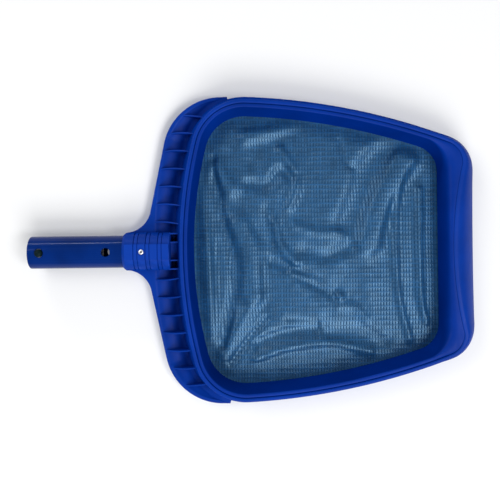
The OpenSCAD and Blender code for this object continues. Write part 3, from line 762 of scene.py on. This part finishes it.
def yoke_outline(yoke, line, nose_x):
    """Outline of the yoke from the back corner round to the axis under the barrel."""
    corner_steps, flank_steps, fillet_steps, nose_steps = 30, 26, 18, 6
    centre, radius = outer_corner(yoke, line), yoke.corner_radius
    start = polar(centre, radius, math.pi - yoke.flank)
    fillet_y = yoke.barrel_radius + yoke.fillet
    fillet_x = start.x - (start.y - fillet_y) * math.tan(yoke.flank) - yoke.fillet / math.cos(yoke.flank)
    fillet = Vector((fillet_x, fillet_y))
    end = polar(fillet, yoke.fillet, -yoke.flank)
    points = [Vector((centre.x + run, centre.y + radius)) for run in (6 * MM, 3 * MM)]
    for i in range(corner_steps + 1):
        points.append(polar(centre, radius, math.pi / 2 + (math.pi / 2 - yoke.flank) * i / corner_steps))
    points += [start.lerp(end, i / flank_steps) for i in range(1, flank_steps)]
    front_x = nose_x + 1.5 * MM
    turn = math.acos((front_x - fillet_x) / yoke.fillet) - yoke.flank
    for i in range(fillet_steps + 1):
        points.append(polar(fillet, yoke.fillet, -yoke.flank - turn * i / fillet_steps))
    for i in range(1, nose_steps + 1):
        points.append(Vector((front_x, yoke.barrel_radius * (1 - i / nose_steps))))
    return points


class SKIMMER_OT_yoke(bpy.types.Operator):
    """Yoke between the barrel and the rim, with its valley"""

    bl_idname = "skimmer.yoke"
    bl_label = "Yoke"

    def execute(self, context):
        scene = context.scene
        yoke, line = scene.skimmer_yoke, JointLine(scene.skimmer_rim)
        outline = yoke_outline(yoke, line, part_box("frame")[0].x)
        bm = bmesh.new()
        edges = self.top(bm, yoke, line, outline)
        wall = bmesh.ops.extrude_edge_only(bm, edges=edges)["geom"]
        for vert in only(bmesh.types.BMVert, wall):
            vert.co.z = 0
        mirror(bm)
        bmesh.ops.recalc_face_normals(bm, faces=bm.faces)
        if sum(f.normal.z * f.calc_area() for f in bm.faces) < 0:
            bmesh.ops.reverse_faces(bm, faces=bm.faces)
        made = piece("yoke_moulding", bm, frame_plastic(scene), "frame_plastic", outward=False)
        thicken(made, "Skin", yoke.skin, -1)
        soften(made, 0.45 * MM, 3, 50)
        return {"FINISHED"}

    def top(self, bm, yoke, line, outline):
        """The yoke's top as a grid from its outline inward; returns the edges of the outline."""
        steps = len(self.rows(line, yoke.valley, yoke.valley)) - 1
        outer = set()
        for vert, i, k in grid(bm, len(outline) - 1, steps):
            place = outline[i]
            centre, radius = line.back, line.rim.back_radius
            if direction(line.back, place) < line.back_a:
                centre, radius = line.corner, line.rim.corner_radius
            far = valley_reach(yoke, line, place)
            d = self.rows(line, far, (place - centre).length - radius)[k]
            spot = polar(centre, radius + d, direction(centre, place))
            vert.co = (spot.x, spot.y, valley_height(yoke, line, far, d))
            if k == 0:
                outer.add(vert)
        return [e for e in bm.edges if outer.issuperset(e.verts)]

    def rows(self, line, far, edge):
        """Distances of the grid's rows from the joint line, from the outline inward."""
        flats, ramps, inner = 4, 10, 6 * MM
        top = max(min(far, edge - 0.2 * MM), inner + VALLEY_LEAST)
        foot = min(line.rim.foot + VALLEY_FOOT, (top + inner) / 2)
        flat = [edge + (top - edge) * i / flats for i in range(flats)]
        ramp = [top + (foot - top) * i / ramps for i in range(ramps)]
        return flat + ramp + [foot, (foot + inner) / 2, inner]


class SKIMMER_OT_ribs(bpy.types.Operator):
    """Gusset ribs across the valley and short ribs behind the barrel"""

    bl_idname = "skimmer.ribs"
    bl_label = "Ribs"

    def execute(self, context):
        scene = context.scene
        yoke, line = scene.skimmer_yoke, JointLine(scene.skimmer_rim)
        bm = bmesh.new()
        for i in range(yoke.ribs):
            self.gusset(bm, yoke, line, yoke.rib_first + yoke.rib_pitch * i)
        mirror(bm, 0)
        start = barrel_end(yoke, line) - OVERLAP
        for y in (-OUTER_RIB, -INNER_RIB, INNER_RIB, OUTER_RIB):
            self.plate(bm, yoke, start, line.back_x - 2 * MM, y)
        self.web(bm, yoke, start, line.back_x - 4 * MM)
        made = piece("gusset_ribs", bm, frame_plastic(scene), "frame_plastic", outward=False)
        thicken(made, "Thickness", yoke.rib_thickness, 0)
        soften(made, 0.45 * MM, 3)
        return {"FINISHED"}

    def gusset(self, bm, yoke, line, y):
        """One bent rib, as a strip from the yoke's edge to the rim wall."""
        first, turn, steps = 110, 40, 400  # the bend's first angle and its turn in degrees
        back, rake = 27 * MM, 0.9  # the bend's centre lies behind the rim, nearer to it on the outer ribs
        centre = (line.back_x - back + rake * y * math.tan(yoke.flank), y - yoke.rib_bend)
        high = line.wall_reach(yoke.rib_height) - OVERLAP
        spots = []
        for k in range(steps + 1):
            spot = polar(centre, yoke.rib_bend, math.radians(first - turn * k / steps))
            d = -line.depth(spot.x, spot.y)
            far = valley_reach(yoke, line, spot) + 0.6 * MM
            if high - 0.4 * MM < d < far:
                share = min(1.0, (far - d) / (far - high))
                top = yoke.height + (yoke.rib_height - yoke.height) * share - 0.2 * MM
                spots.append((spot, valley_height(yoke, line, far, d) - OVERLAP, top))
        self.strip(bm, spots)

    def plate(self, bm, yoke, start, end, y):
        """One short straight rib behind the barrel."""
        bottom, rise, steps = 2 * MM, 2 * MM, 14
        spots = []
        for k in range(steps + 1):
            share = k / steps
            place = Vector((start + (end - start) * share, y))
            spots.append((place, bottom, yoke.rib_height + rise * (1 - share)))
        self.strip(bm, spots)

    def web(self, bm, yoke, start, end):
        """Gently falling sheet between the two inner ribs behind the barrel."""
        columns, rows, drop, fall = 6, 8, 5.7 * MM, 2 * MM
        for vert, i, k in grid(bm, columns, rows):
            share = i / columns
            side = (2 * k / rows - 1) * INNER_RIB
            vert.co = (start + (end - start) * share, side, yoke.rib_height - drop - fall * share)

    def strip(self, bm, spots):
        """Upright strip through places, each with its lowest and its highest height."""
        columns, rows = 14, 3
        for vert, i, k in grid(bm, columns, rows):
            spot, low, top = spots[round(i / columns * (len(spots) - 1))]
            vert.co = (spot.x, spot.y, low + (top - low) * k / rows)


class SKIMMER_OT_barrel(bpy.types.Operator):
    """Ringed socket barrel with its rivet seat"""

    bl_idname = "skimmer.barrel"
    bl_label = "Socket Barrel"

    def execute(self, context):
        scene = context.scene
        yoke, line = scene.skimmer_yoke, JointLine(scene.skimmer_rim)
        nose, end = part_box("frame")[0].x, barrel_end(yoke, line)
        outer, bore, bottom = yoke.barrel_radius, yoke.tube_radius + 0.1 * MM, end - 2 * MM
        profile = [(bottom, 0), (bottom, bore), (nose, bore), (nose, bore + 0.6 * MM)]
        profile += [(nose + 0.6 * MM, bore + 1.2 * MM), (nose + 2.2 * MM, outer)]
        profile += self.rings(yoke, nose, outer) + [(end, outer), (end, 0)]
        bm = turned(profile, axis_z=yoke.axis_height)
        made = piece("socket_barrel", bm, frame_plastic(scene), "frame_plastic")
        high, low, start, stop = outer + 0.1 * MM, bore + 0.4 * MM, nose + 2.5 * MM, end - 0.4 * MM
        pad = [(start, low), (start, high)] + self.rings(yoke, nose, high) + [(stop, high), (stop, low)]
        combine(made, "UNION", self.slab(pad, yoke))
        seat_z, rivet_x = yoke.axis_height + outer - RIVET_SINK, middle_x(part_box("rivet_body"))
        seat = drill(rivet_x, seat_z, seat_z + 5 * MM, 3 * MM)
        combine(made, "DIFFERENCE", seat, drill(rivet_x, yoke.axis_height, seat_z + MM, RIVET_HOLE))
        soften(made, 0.22 * MM)
        return {"FINISHED"}

    def rings(self, yoke, nose, outer):
        """Outline of the grooves: each has a shallow floor with a narrow slit at both of its edges."""
        slit, deep, floor = 0.8 * MM, outer - yoke.groove_depth - 0.3 * MM, outer - 0.35 * MM
        grooves, half = 3, yoke.groove_width / 2
        edge = [(half, outer), (half - slit * 0.3, deep), (half - slit * 0.6, deep), (half - slit, floor)]
        made = []
        for i in range(grooves):
            middle = nose + yoke.first_groove + i * yoke.groove_pitch
            made += [(middle - x, r) for x, r in edge] + [(middle + x, r) for x, r in edge[::-1]]
        return made

    def slab(self, outline, yoke):
        """Closed slab of an outline of (place on the axis, height over the axis)."""
        bm = bmesh.new()
        half = yoke.pad_width / 2
        face = bm.faces.new([bm.verts.new((x, -half, yoke.axis_height + r)) for x, r in outline])
        grown = bmesh.ops.extrude_face_region(bm, geom=[face])["geom"]
        bmesh.ops.translate(bm, verts=only(bmesh.types.BMVert, grown), vec=(0, 2 * half, 0))
        return bm


class SKIMMER_OT_ring(bpy.types.Operator):
    """Clamp ring that holds the net"""

    bl_idname = "skimmer.ring"
    bl_label = "Clamp Ring"

    def execute(self, context):
        scene = context.scene
        line = JointLine(scene.skimmer_rim)
        bm = swept_rim(line, lambda joint, foot, share: ring_section(line, joint, share))
        blue = finish_of("ring plastic", moulded_plastic, tuple(scene.skimmer_colours.ring), 0.4)
        made = piece("clamp_ring_moulding", bm, blue, "ring_plastic", "clamp_ring")
        soften(made, 0.2 * MM)
        return {"FINISHED"}


# ---------------------------------------------------------------- net

# Creases of the slack cloth in millimetres: the places each runs through, its half width and its steepness
CREASES = (
    (((-37, 82), (-30, 31), (-20, -8), (-19, -32), (-26, -66), (-30, -85)), 4, -0.85),
    (((-53, 50), (-46, 5), (-44, -40), (-46, -75)), 7, 0.9),
    (((-7, 100), (17, 107), (44, 118)), 6.5, 0.45),
    (((38, 110), (43, 88)), 4.5, -0.1),
    (((-40, 98), (-25, 93)), 3.5, 0.1),
    (((-4, 59), (12, 58), (24, 70), (34, 65)), 5, -0.5),
    (((24, 89), (35, 71), (38, 55), (31, 38)), 4, 0.45),
    (((17, 25), (23, 4), (36, -13)), 4, 0.5),
    (((36, 21), (56, 15), (78, 14)), 4, 0.35),
    (((122, 94), (102, 74), (93, 49), (82, 22)), 9, -0.4),
    (((135, 80), (114, 42), (103, 6)), 10, 0.75),
    (((77, 97), (81, 79), (89, 72)), 3, -0.25),
    (((17, -11), (43, -23), (70, -39)), 5, -0.7),
    (((33, -20), (59, -31), (76, -43)), 3.5, 0.8),
    (((75, -51), (89, -53), (99, -64)), 4, 0.3),
    (((69, -74), (96, -76), (113, -85)), 8, -0.35),
    (((2, -84), (27, -75), (54, -72)), 5, -0.6),
    (((0, -97), (31, -87), (71, -84), (103, -93)), 3.5, 0.65),
    (((1, -43), (-16, -69), (-29, -93)), 6, 0.3),
    (((9, -62), (-8, -82), (-22, -101)), 3, -0.55),
    (((132, 74), (126, 12), (128, -42), (138, -83)), 3, 0.55),
    (((144, 61), (140, 3), (141, -41), (149, -73)), 3, -0.1),
    (((148, 52), (147, -1), (148, -46), (153, -66)), 3, 0.65),
    (((99, -5), (102, -45), (112, -74)), 7, 0.1),
    (((-1, 77), (6, 64)), 6, -0.15),
    (((11, 36), (15, 16), (13, -4)), 5, -0.2),
    (((46, -2), (64, -6), (84, 2)), 6, -0.3),
    (((29, -63), (54, -65)), 3.5, -0.25),
    (((-13, 22), (-3, -8), (-3, -38)), 8.5, 0.65),
    (((-2, 10), (38, -35), (58, -55)), 6.5, 0.15),
    (((-36, 75), (-21, 55)), 7, 0.5),
)


def drawn_through(places, steps=8):
    """Smooth line through places."""
    ends = [places[0], *places, places[-1]]
    made = []
    for a, b, c, d in zip(ends, ends[1:], ends[2:], ends[3:]):
        a, b, c, d = (np.array(p, float) for p in (a, b, c, d))
        for k in range(steps):
            t = k / steps
            bent = (2 * a - 5 * b + 4 * c - d) * t * t + (3 * b - a - 3 * c + d) * t**3
            made.append(0.5 * (2 * b + (c - a) * t + bent))
    return made + [np.array(places[-1], float)]


class Slack:
    """Heights of the slack cloth, worked out on an even grid of places and read off between them."""

    def __init__(self, cloth, line):
        self.cloth, self.step = cloth, 1.5 * MM
        self.x0, self.y0 = line.back_x, -line.rim.half_width
        xs = np.arange(self.x0, line.front_x + 2 * self.step, self.step)
        ys = np.arange(self.y0, line.rim.half_width + 2 * self.step, self.step)
        lift = self.creased(*np.meshgrid(xs / MM, ys / MM))
        depth = np.array([[line.depth(x, y) for x in xs] for y in ys]) - line.rim.ring_width - CLOTH_ROOM
        self.ease = eased(np.clip(depth / cloth.fade, 0, 1))
        lift = cloth.fold * (lift - self.swell(lift)) * MM
        lifted = cloth.billow + cloth.reach * np.tanh(lift / cloth.reach)
        base, lowest = line.rim.ledge + CLOTH_ROOM / 2, 0.9 * MM
        self.heights = np.maximum(base + self.ease * lifted, lowest)

    def creased(self, gx, gy):
        """Lifts of all creases together, in millimetres."""
        lift = np.zeros_like(gx)
        for places, width, steepness in CREASES:
            crease = drawn_through(places)
            nearest = np.full_like(gx, 1e9)
            for (x0, y0), (x1, y1) in zip(crease, crease[1:]):
                wx, wy = x1 - x0, y1 - y0
                t = np.clip(((gx - x0) * wx + (gy - y0) * wy) / max(wx * wx + wy * wy, 1e-9), 0, 1)
                nearest = np.minimum(nearest, (gx - x0 - t * wx) ** 2 + (gy - y0 - t * wy) ** 2)
            lift += steepness * width * np.exp(-nearest / width**2)
        return lift

    def swell(self, lift):
        """The broad part of the lifts, which a net held flat by its rim doesn't have."""
        span = 24  # reach of the smoothing to each side, in steps of the grid
        broad = np.exp(-((np.arange(-span, span + 1) * self.step / self.cloth.broad) ** 2))
        broad /= broad.sum()
        for axis in (0, 1):
            lift = np.apply_along_axis(np.convolve, axis, lift, broad, "same")
        return lift

    def at(self, x, y):
        """Height of the cloth at a place, and how far it is free of its edge."""
        u, v = (x - self.x0) / self.step, (y - self.y0) / self.step
        i = min(max(int(u), 0), self.heights.shape[1] - 2)
        j = min(max(int(v), 0), self.heights.shape[0] - 2)
        u, v = u - i, v - j
        read = []
        for values in (self.heights, self.ease):
            near = values[j, i] * (1 - u) + values[j, i + 1] * u
            far = values[j + 1, i] * (1 - u) + values[j + 1, i + 1] * u
            read.append(near * (1 - v) + far * v)
        return read


# What a stop of the weave holds: its place, whether a thread fills the span after it, its crown, its number
PLACE, FILLED, CROWN, NUMBER = range(4)


class SKIMMER_OT_net(bpy.types.Operator):
    """Slack woven net, thread by thread"""

    bl_idname = "skimmer.net"
    bl_label = "Woven Net"

    def execute(self, context):
        scene = context.scene
        line = JointLine(scene.skimmer_rim)
        cloth = scene.skimmer_cloth
        low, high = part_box("net")
        columns = self.stops(low.x, high.x, cloth.tape_pitch, cloth.tape_width, (0, 0.2, 0.8), 1)
        rows = self.stops(low.y, high.y, cloth.thread_pitch, cloth.thread_width, (0, 0.5), 2)
        bm = bmesh.new()
        layers = [bm.faces.layers.float.new(name) for name in ("thread", "tone", "edge")]
        spots = {vert: (i, j) for vert, i, j in grid(bm, len(columns) - 1, len(rows) - 1)}
        self.stray(spots, cloth, columns, rows)
        self.weave(bm, spots, layers, line, columns, rows)
        self.slacken(bm, spots, cloth, line, columns, rows)
        bmesh.ops.recalc_face_normals(bm, faces=bm.faces)
        if sum(f.normal.z for f in bm.faces) < 0:
            bmesh.ops.reverse_faces(bm, faces=bm.faces)
        colours = scene.skimmer_colours
        material = finish_of("net cloth", woven_cloth, tuple(colours.tape), tuple(colours.thread))
        made = piece("net_weave", bm, material, "net_cloth", "net", outward=False)
        area = self.cut_area(line)
        return {"FINISHED"}

    def stops(self, low, high, pitch, width, shares, gap_steps):
        """Places across the weave where spans start: some in each thread, and some in the gap after it."""
        count = round((high - low) / pitch)
        pitch = (high - low) / count
        made = []
        for n in range(count):
            start = low + n * pitch
            for share in shares:
                made.append((start + width * share, True, 1.0 if share else 0.0, n))
            for k in range(gap_steps):
                made.append((start + width + (pitch - width) * k / gap_steps, False, 0.0, n))
        made.append((high, False, 0.0, count))
        return made

    def stray(self, spots, cloth, columns, rows):
        """Lays the threads out flat, each a little off its straight run."""
        waves = 25  # a metre
        noise.seed_set(1)  # the vectors of noise would otherwise start from the time
        for vert, (i, j) in spots.items():
            x, y = columns[i][PLACE], rows[j][PLACE]
            off = noise.noise_vector(Vector((x * waves, y * waves, 7.1)))
            vert.co = (x + cloth.stray * off.x, y + cloth.stray * off.y, 0)

    def weave(self, bm, spots, layers, line, columns, rows):
        """Marks tapes and threads on the faces, and takes out the holes and what lies past the hem."""
        kind, tone, edge = layers
        gone = []
        for face in bm.faces:
            i, j = (min(spots[v][n] for v in face.verts) for n in (0, 1))
            tape, thread = columns[i][FILLED], rows[j][FILLED]
            middle = face.calc_center_median()
            if not (tape or thread) or line.depth(middle.x, middle.y) < CLOTH_IN:
                gone.append(face)
            face[kind] = 1.0 if thread else 0.0
            # The edge mark picks the tapes' side strips, which the cloth's material paints dark as shade
            # between the tapes
            face[edge] = 0.0 if thread or columns[i][CROWN] == columns[i + 1][CROWN] else 1.0
            if thread:
                pick = Vector((rows[j][NUMBER] * 0.73, 3.1, middle.x * 60))
            else:
                pick = Vector((5.7, columns[i][NUMBER] * 1.37, middle.y * 90))
            face[tone] = 0.5 + noise.noise(pick)
        bmesh.ops.delete(bm, geom=gone, context="FACES")

    def slacken(self, bm, spots, cloth, line, columns, rows):
        """Lifts the cloth into its folds and ripples, and raises the tapes' crowns and the threads."""
        slack = Slack(cloth, line)
        coarse, fine = 60, 140  # ripples a metre
        for vert in bm.verts:
            i, j = spots[vert]
            x, y = vert.co.x, vert.co.y
            height, free = slack.at(x, y)
            ripple = noise.noise(Vector((x * coarse, y * coarse, 1.7)))
            ripple += 0.5 * noise.noise(Vector((x * fine, y * fine, 4.2)))
            height += free * cloth.ripple * ripple
            raised = cloth.crown * columns[i][CROWN] + cloth.over * rows[j][CROWN]
            vert.co.z = height + min(1.0, 4 * free) * raised

    def cut_area(self, line):
        """Flat area of the net out to its hem, in square metres."""
        step, count = 2 * MM, 0
        x = line.back_x
        while x < line.front_x:
            y = 0.0
            while y < line.rim.half_width:
                count += line.depth(x, y) > CLOTH_IN
                y += step
            x += step
        return 2 * count * step * step


class SKIMMER_OT_hem(bpy.types.Operator):
    """Cord of the net's hem in the ledge's groove"""

    bl_idname = "skimmer.hem"
    bl_label = "Hem Cord"

    def execute(self, context):
        line = JointLine(context.scene.skimmer_rim)
        low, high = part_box("net_hem")
        middle, radius, sides = (low.z + high.z) / 2, (high.z - low.z) / 2 - 0.02 * MM, 12
        angles = [2 * math.pi / sides * (k + 0.5) for k in range(sides)]
        section = [(radius * math.cos(a) - HEM_IN, middle + radius * math.sin(a)) for a in angles]
        bm = swept_rim(line, lambda joint, foot, share: section)
        cord = finish_of("hem cord", hem_cord, (0.03, 0.09, 0.2))
        piece("net_hem_cord", bm, cord, "hem_cord", "net_hem")
        return {"FINISHED"}


# ---------------------------------------------------------------- handle


class SKIMMER_OT_tube(bpy.types.Operator):
    """Handle tube with its cross holes"""

    bl_idname = "skimmer.tube"
    bl_label = "Handle Tube"

    def execute(self, context):
        scene = context.scene
        yoke = scene.skimmer_yoke
        low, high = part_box("handle_tube")
        outer, inner = yoke.tube_radius, yoke.tube_radius - yoke.tube_wall
        chamfer, rounding = 0.2 * MM, 0.6 * MM
        profile = [
            (low.x, inner + chamfer), (low.x, outer - rounding),
            (low.x + 0.3 * rounding, outer - rounding / 3), (low.x + rounding, outer),
            (high.x, outer), (high.x, inner), (low.x + chamfer, inner),
        ]
        bm = turned(profile, closed=True, axis_z=yoke.axis_height, steps=128)
        finish = finish_of("tube gloss", glossy_tube, tuple(scene.skimmer_colours.tube))
        made = piece("tube_shell", bm, finish, "tube_plastic", "handle_tube")
        bottom, top, radius, apart = -5 * MM, 45 * MM, 3.8 * MM, 57 * MM
        first, rivet_x = middle_x(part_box("upper_button")), middle_x(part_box("rivet_body"))
        holes = [drill(x, bottom, top, radius) for x in (first, first + apart)]
        combine(made, "DIFFERENCE", *holes, drill(rivet_x, yoke.axis_height, top, RIVET_HOLE))
        soften(made, 0.15 * MM, 2, 40)
        return {"FINISHED"}


class SKIMMER_OT_rivet(bpy.types.Operator):
    """Blind rivet with its rolled flange"""

    bl_idname = "skimmer.rivet"
    bl_label = "Blind Rivet"

    def execute(self, context):
        yoke = context.scene.skimmer_yoke
        low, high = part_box("rivet_body")
        tail = yoke.axis_height + yoke.tube_radius - yoke.tube_wall
        seat = yoke.axis_height + yoke.barrel_radius - RIVET_SINK
        # Heights from the tube's inner face, the seat and the rivet's top, with radii, in millimetres
        bulge = ((-3, 0.9), (-2.6, 2.1), (-1.2, 2.5), (-0.1, 1.6))
        flange = ((0, 1.6), (0, 2.15), (0.15, 2.25), (0.35, 2.2), (0.65, 2))
        mouth = ((-0.08, 1.7), (0, 1.4), (-0.1, 1.1), (-0.5, 0.9))
        profile = []
        for base, outline in ((tail, bulge), (seat, flange), (high.z, mouth)):
            profile += [(base + height * MM, radius * MM) for height, radius in outline]
        bm = turned(profile, closed=True, steps=48, upright=((low.x + high.x) / 2, 0))
        metal = finish_of("rivet metal", worked_metal, (0.93, 0.94, 0.96), 0.42, (900, 900, 200))
        piece("rivet_flange", bm, metal, "rivet_metal", "rivet_body")
        return {"FINISHED"}


class SKIMMER_OT_clip(bpy.types.Operator):
    """Finishes for the snap buttons, the spring clip and the rivet's mandrel"""

    bl_idname = "skimmer.clip"
    bl_label = "Clip and Mandrel"

    def execute(self, context):
        scene = context.scene
        colours = scene.skimmer_colours
        steel = finish_of("spring steel", worked_metal, (0.5, 0.51, 0.53), 0.34, (60, 1400, 900))
        snapped = finish_of("snapped wire", worked_metal, (0.16, 0.165, 0.175), 0.5, (1600, 1600, 1600))
        dark = finish_of("button plastic", moulded_plastic, tuple(colours.button), 0.42, 0.05)
        finishes = {
            "clip_bend": steel, "upper_leg": steel, "lower_leg": steel,
            "upper_button": dark, "lower_button": dark, "rivet_mandrel": snapped,
        }
        for node, material in finishes.items():
            for slot in frame["nodes"][node].material_slots:
                slot.material = material
        return {"FINISHED"}


# ---------------------------------------------------------------- stage


class SKIMMER_OT_stage(bpy.types.Operator):
    """Pale floor, soft lights and the camera"""

    bl_idname = "skimmer.stage"
    bl_label = "Stage"

    def execute(self, context):
        scene = context.scene
        stage = scene.skimmer_stage
        bm = bmesh.new()
        bmesh.ops.create_grid(bm, x_segments=2, y_segments=2, size=6)
        floor = object_of("floor", bm)
        floor.data.materials.append(Finish("pale floor", (0.86, 0.86, 0.86), 0.9).material)
        world = bpy.data.worlds.new("studio")
        world.use_nodes = True
        background = world.node_tree.nodes["Background"].inputs
        background["Color"].default_value = (0.95, 0.97, 1.0, 1)
        background["Strength"].default_value = stage.sky
        scene.world = world
        middle, tube = (0, 0, 0), (-0.16, 0, 0)
        self.light("key light", (0.3, -1.25, 1.3), middle, (1.0, 0.9), stage.key)
        self.light("side light", (0.8, -0.35, 1.45), middle, (0.5, 0.5), stage.side)
        self.light("fill light", (-1.2, 0.6, 1.4), middle, (0.9, 0.9), stage.fill)
        self.light("strip light", (-0.5, 1.0, 0.42), tube, (0.5, 0.05), stage.strip)
        self.camera(scene, stage)
        scene.view_settings.view_transform = "Standard"
        return {"FINISHED"}

    def light(self, name, place, target, size, power):
        """One soft light that the camera doesn't see."""
        data = bpy.data.lights.new(name, "AREA")
        data.shape, data.energy = "RECTANGLE", power
        data.size, data.size_y = size
        lamp = bpy.data.objects.new(name, data)
        lamp.location = place
        lamp.rotation_euler = (Vector(target) - Vector(place)).to_track_quat("-Z", "Y").to_euler()
        lamp.visible_camera = False
        bpy.context.scene.collection.objects.link(lamp)

    def camera(self, scene, stage):
        """Camera that looks straight down."""
        data = bpy.data.cameras.new("camera")
        data.sensor_width, data.lens, data.shift_y = stage.sensor, stage.lens, stage.shift
        data.clip_start, data.clip_end = 0.01, 20
        camera = bpy.data.objects.new("camera", data)
        camera.location = (stage.eye_x, stage.eye_y, stage.eye_height)
        camera.rotation_euler = (0, 0, -stage.roll)
        scene.collection.objects.link(camera)
        scene.camera = camera


class SKIMMER_PT_pieces(bpy.types.Panel):
    """Lists the operators that make the skimmer"""

    bl_label = "Leaf Skimmer"
    bl_space_type = "VIEW_3D"
    bl_region_type = "UI"
    bl_category = "Skimmer"

    def draw(self, context):
        for operator in OPERATORS:
            self.layout.operator(operator.bl_idname)


GROUPS = {
    "skimmer_rim": SkimmerRim,
    "skimmer_yoke": SkimmerYoke,
    "skimmer_cloth": SkimmerCloth,
    "skimmer_colours": SkimmerColours,
    "skimmer_stage": SkimmerStage,
}
OPERATORS = (
    SKIMMER_OT_stage,
    SKIMMER_OT_rim,
    SKIMMER_OT_yoke,
    SKIMMER_OT_ribs,
    SKIMMER_OT_barrel,
    SKIMMER_OT_ring,
    SKIMMER_OT_hem,
    SKIMMER_OT_net,
    SKIMMER_OT_tube,
    SKIMMER_OT_rivet,
    SKIMMER_OT_clip,
)


def register():
    for group in GROUPS.values():
        bpy.utils.register_class(group)
    for name, group in GROUPS.items():
        setattr(bpy.types.Scene, name, PointerProperty(type=group))
    for operator in OPERATORS:
        bpy.utils.register_class(operator)
    bpy.utils.register_class(SKIMMER_PT_pieces)


def unregister():
    bpy.utils.unregister_class(SKIMMER_PT_pieces)
    for operator in reversed(OPERATORS):
        bpy.utils.unregister_class(operator)
    for name in GROUPS:
        delattr(bpy.types.Scene, name)
    for group in reversed(GROUPS.values()):
        bpy.utils.unregister_class(group)


def main():
    """Makes every piece and the stage."""
    register()
    for operator in OPERATORS:
        group, name = operator.bl_idname.split(".")
        getattr(getattr(bpy.ops, group), name)()
    bpy.context.view_layer.update()


if __name__ == "__main__":
    main()
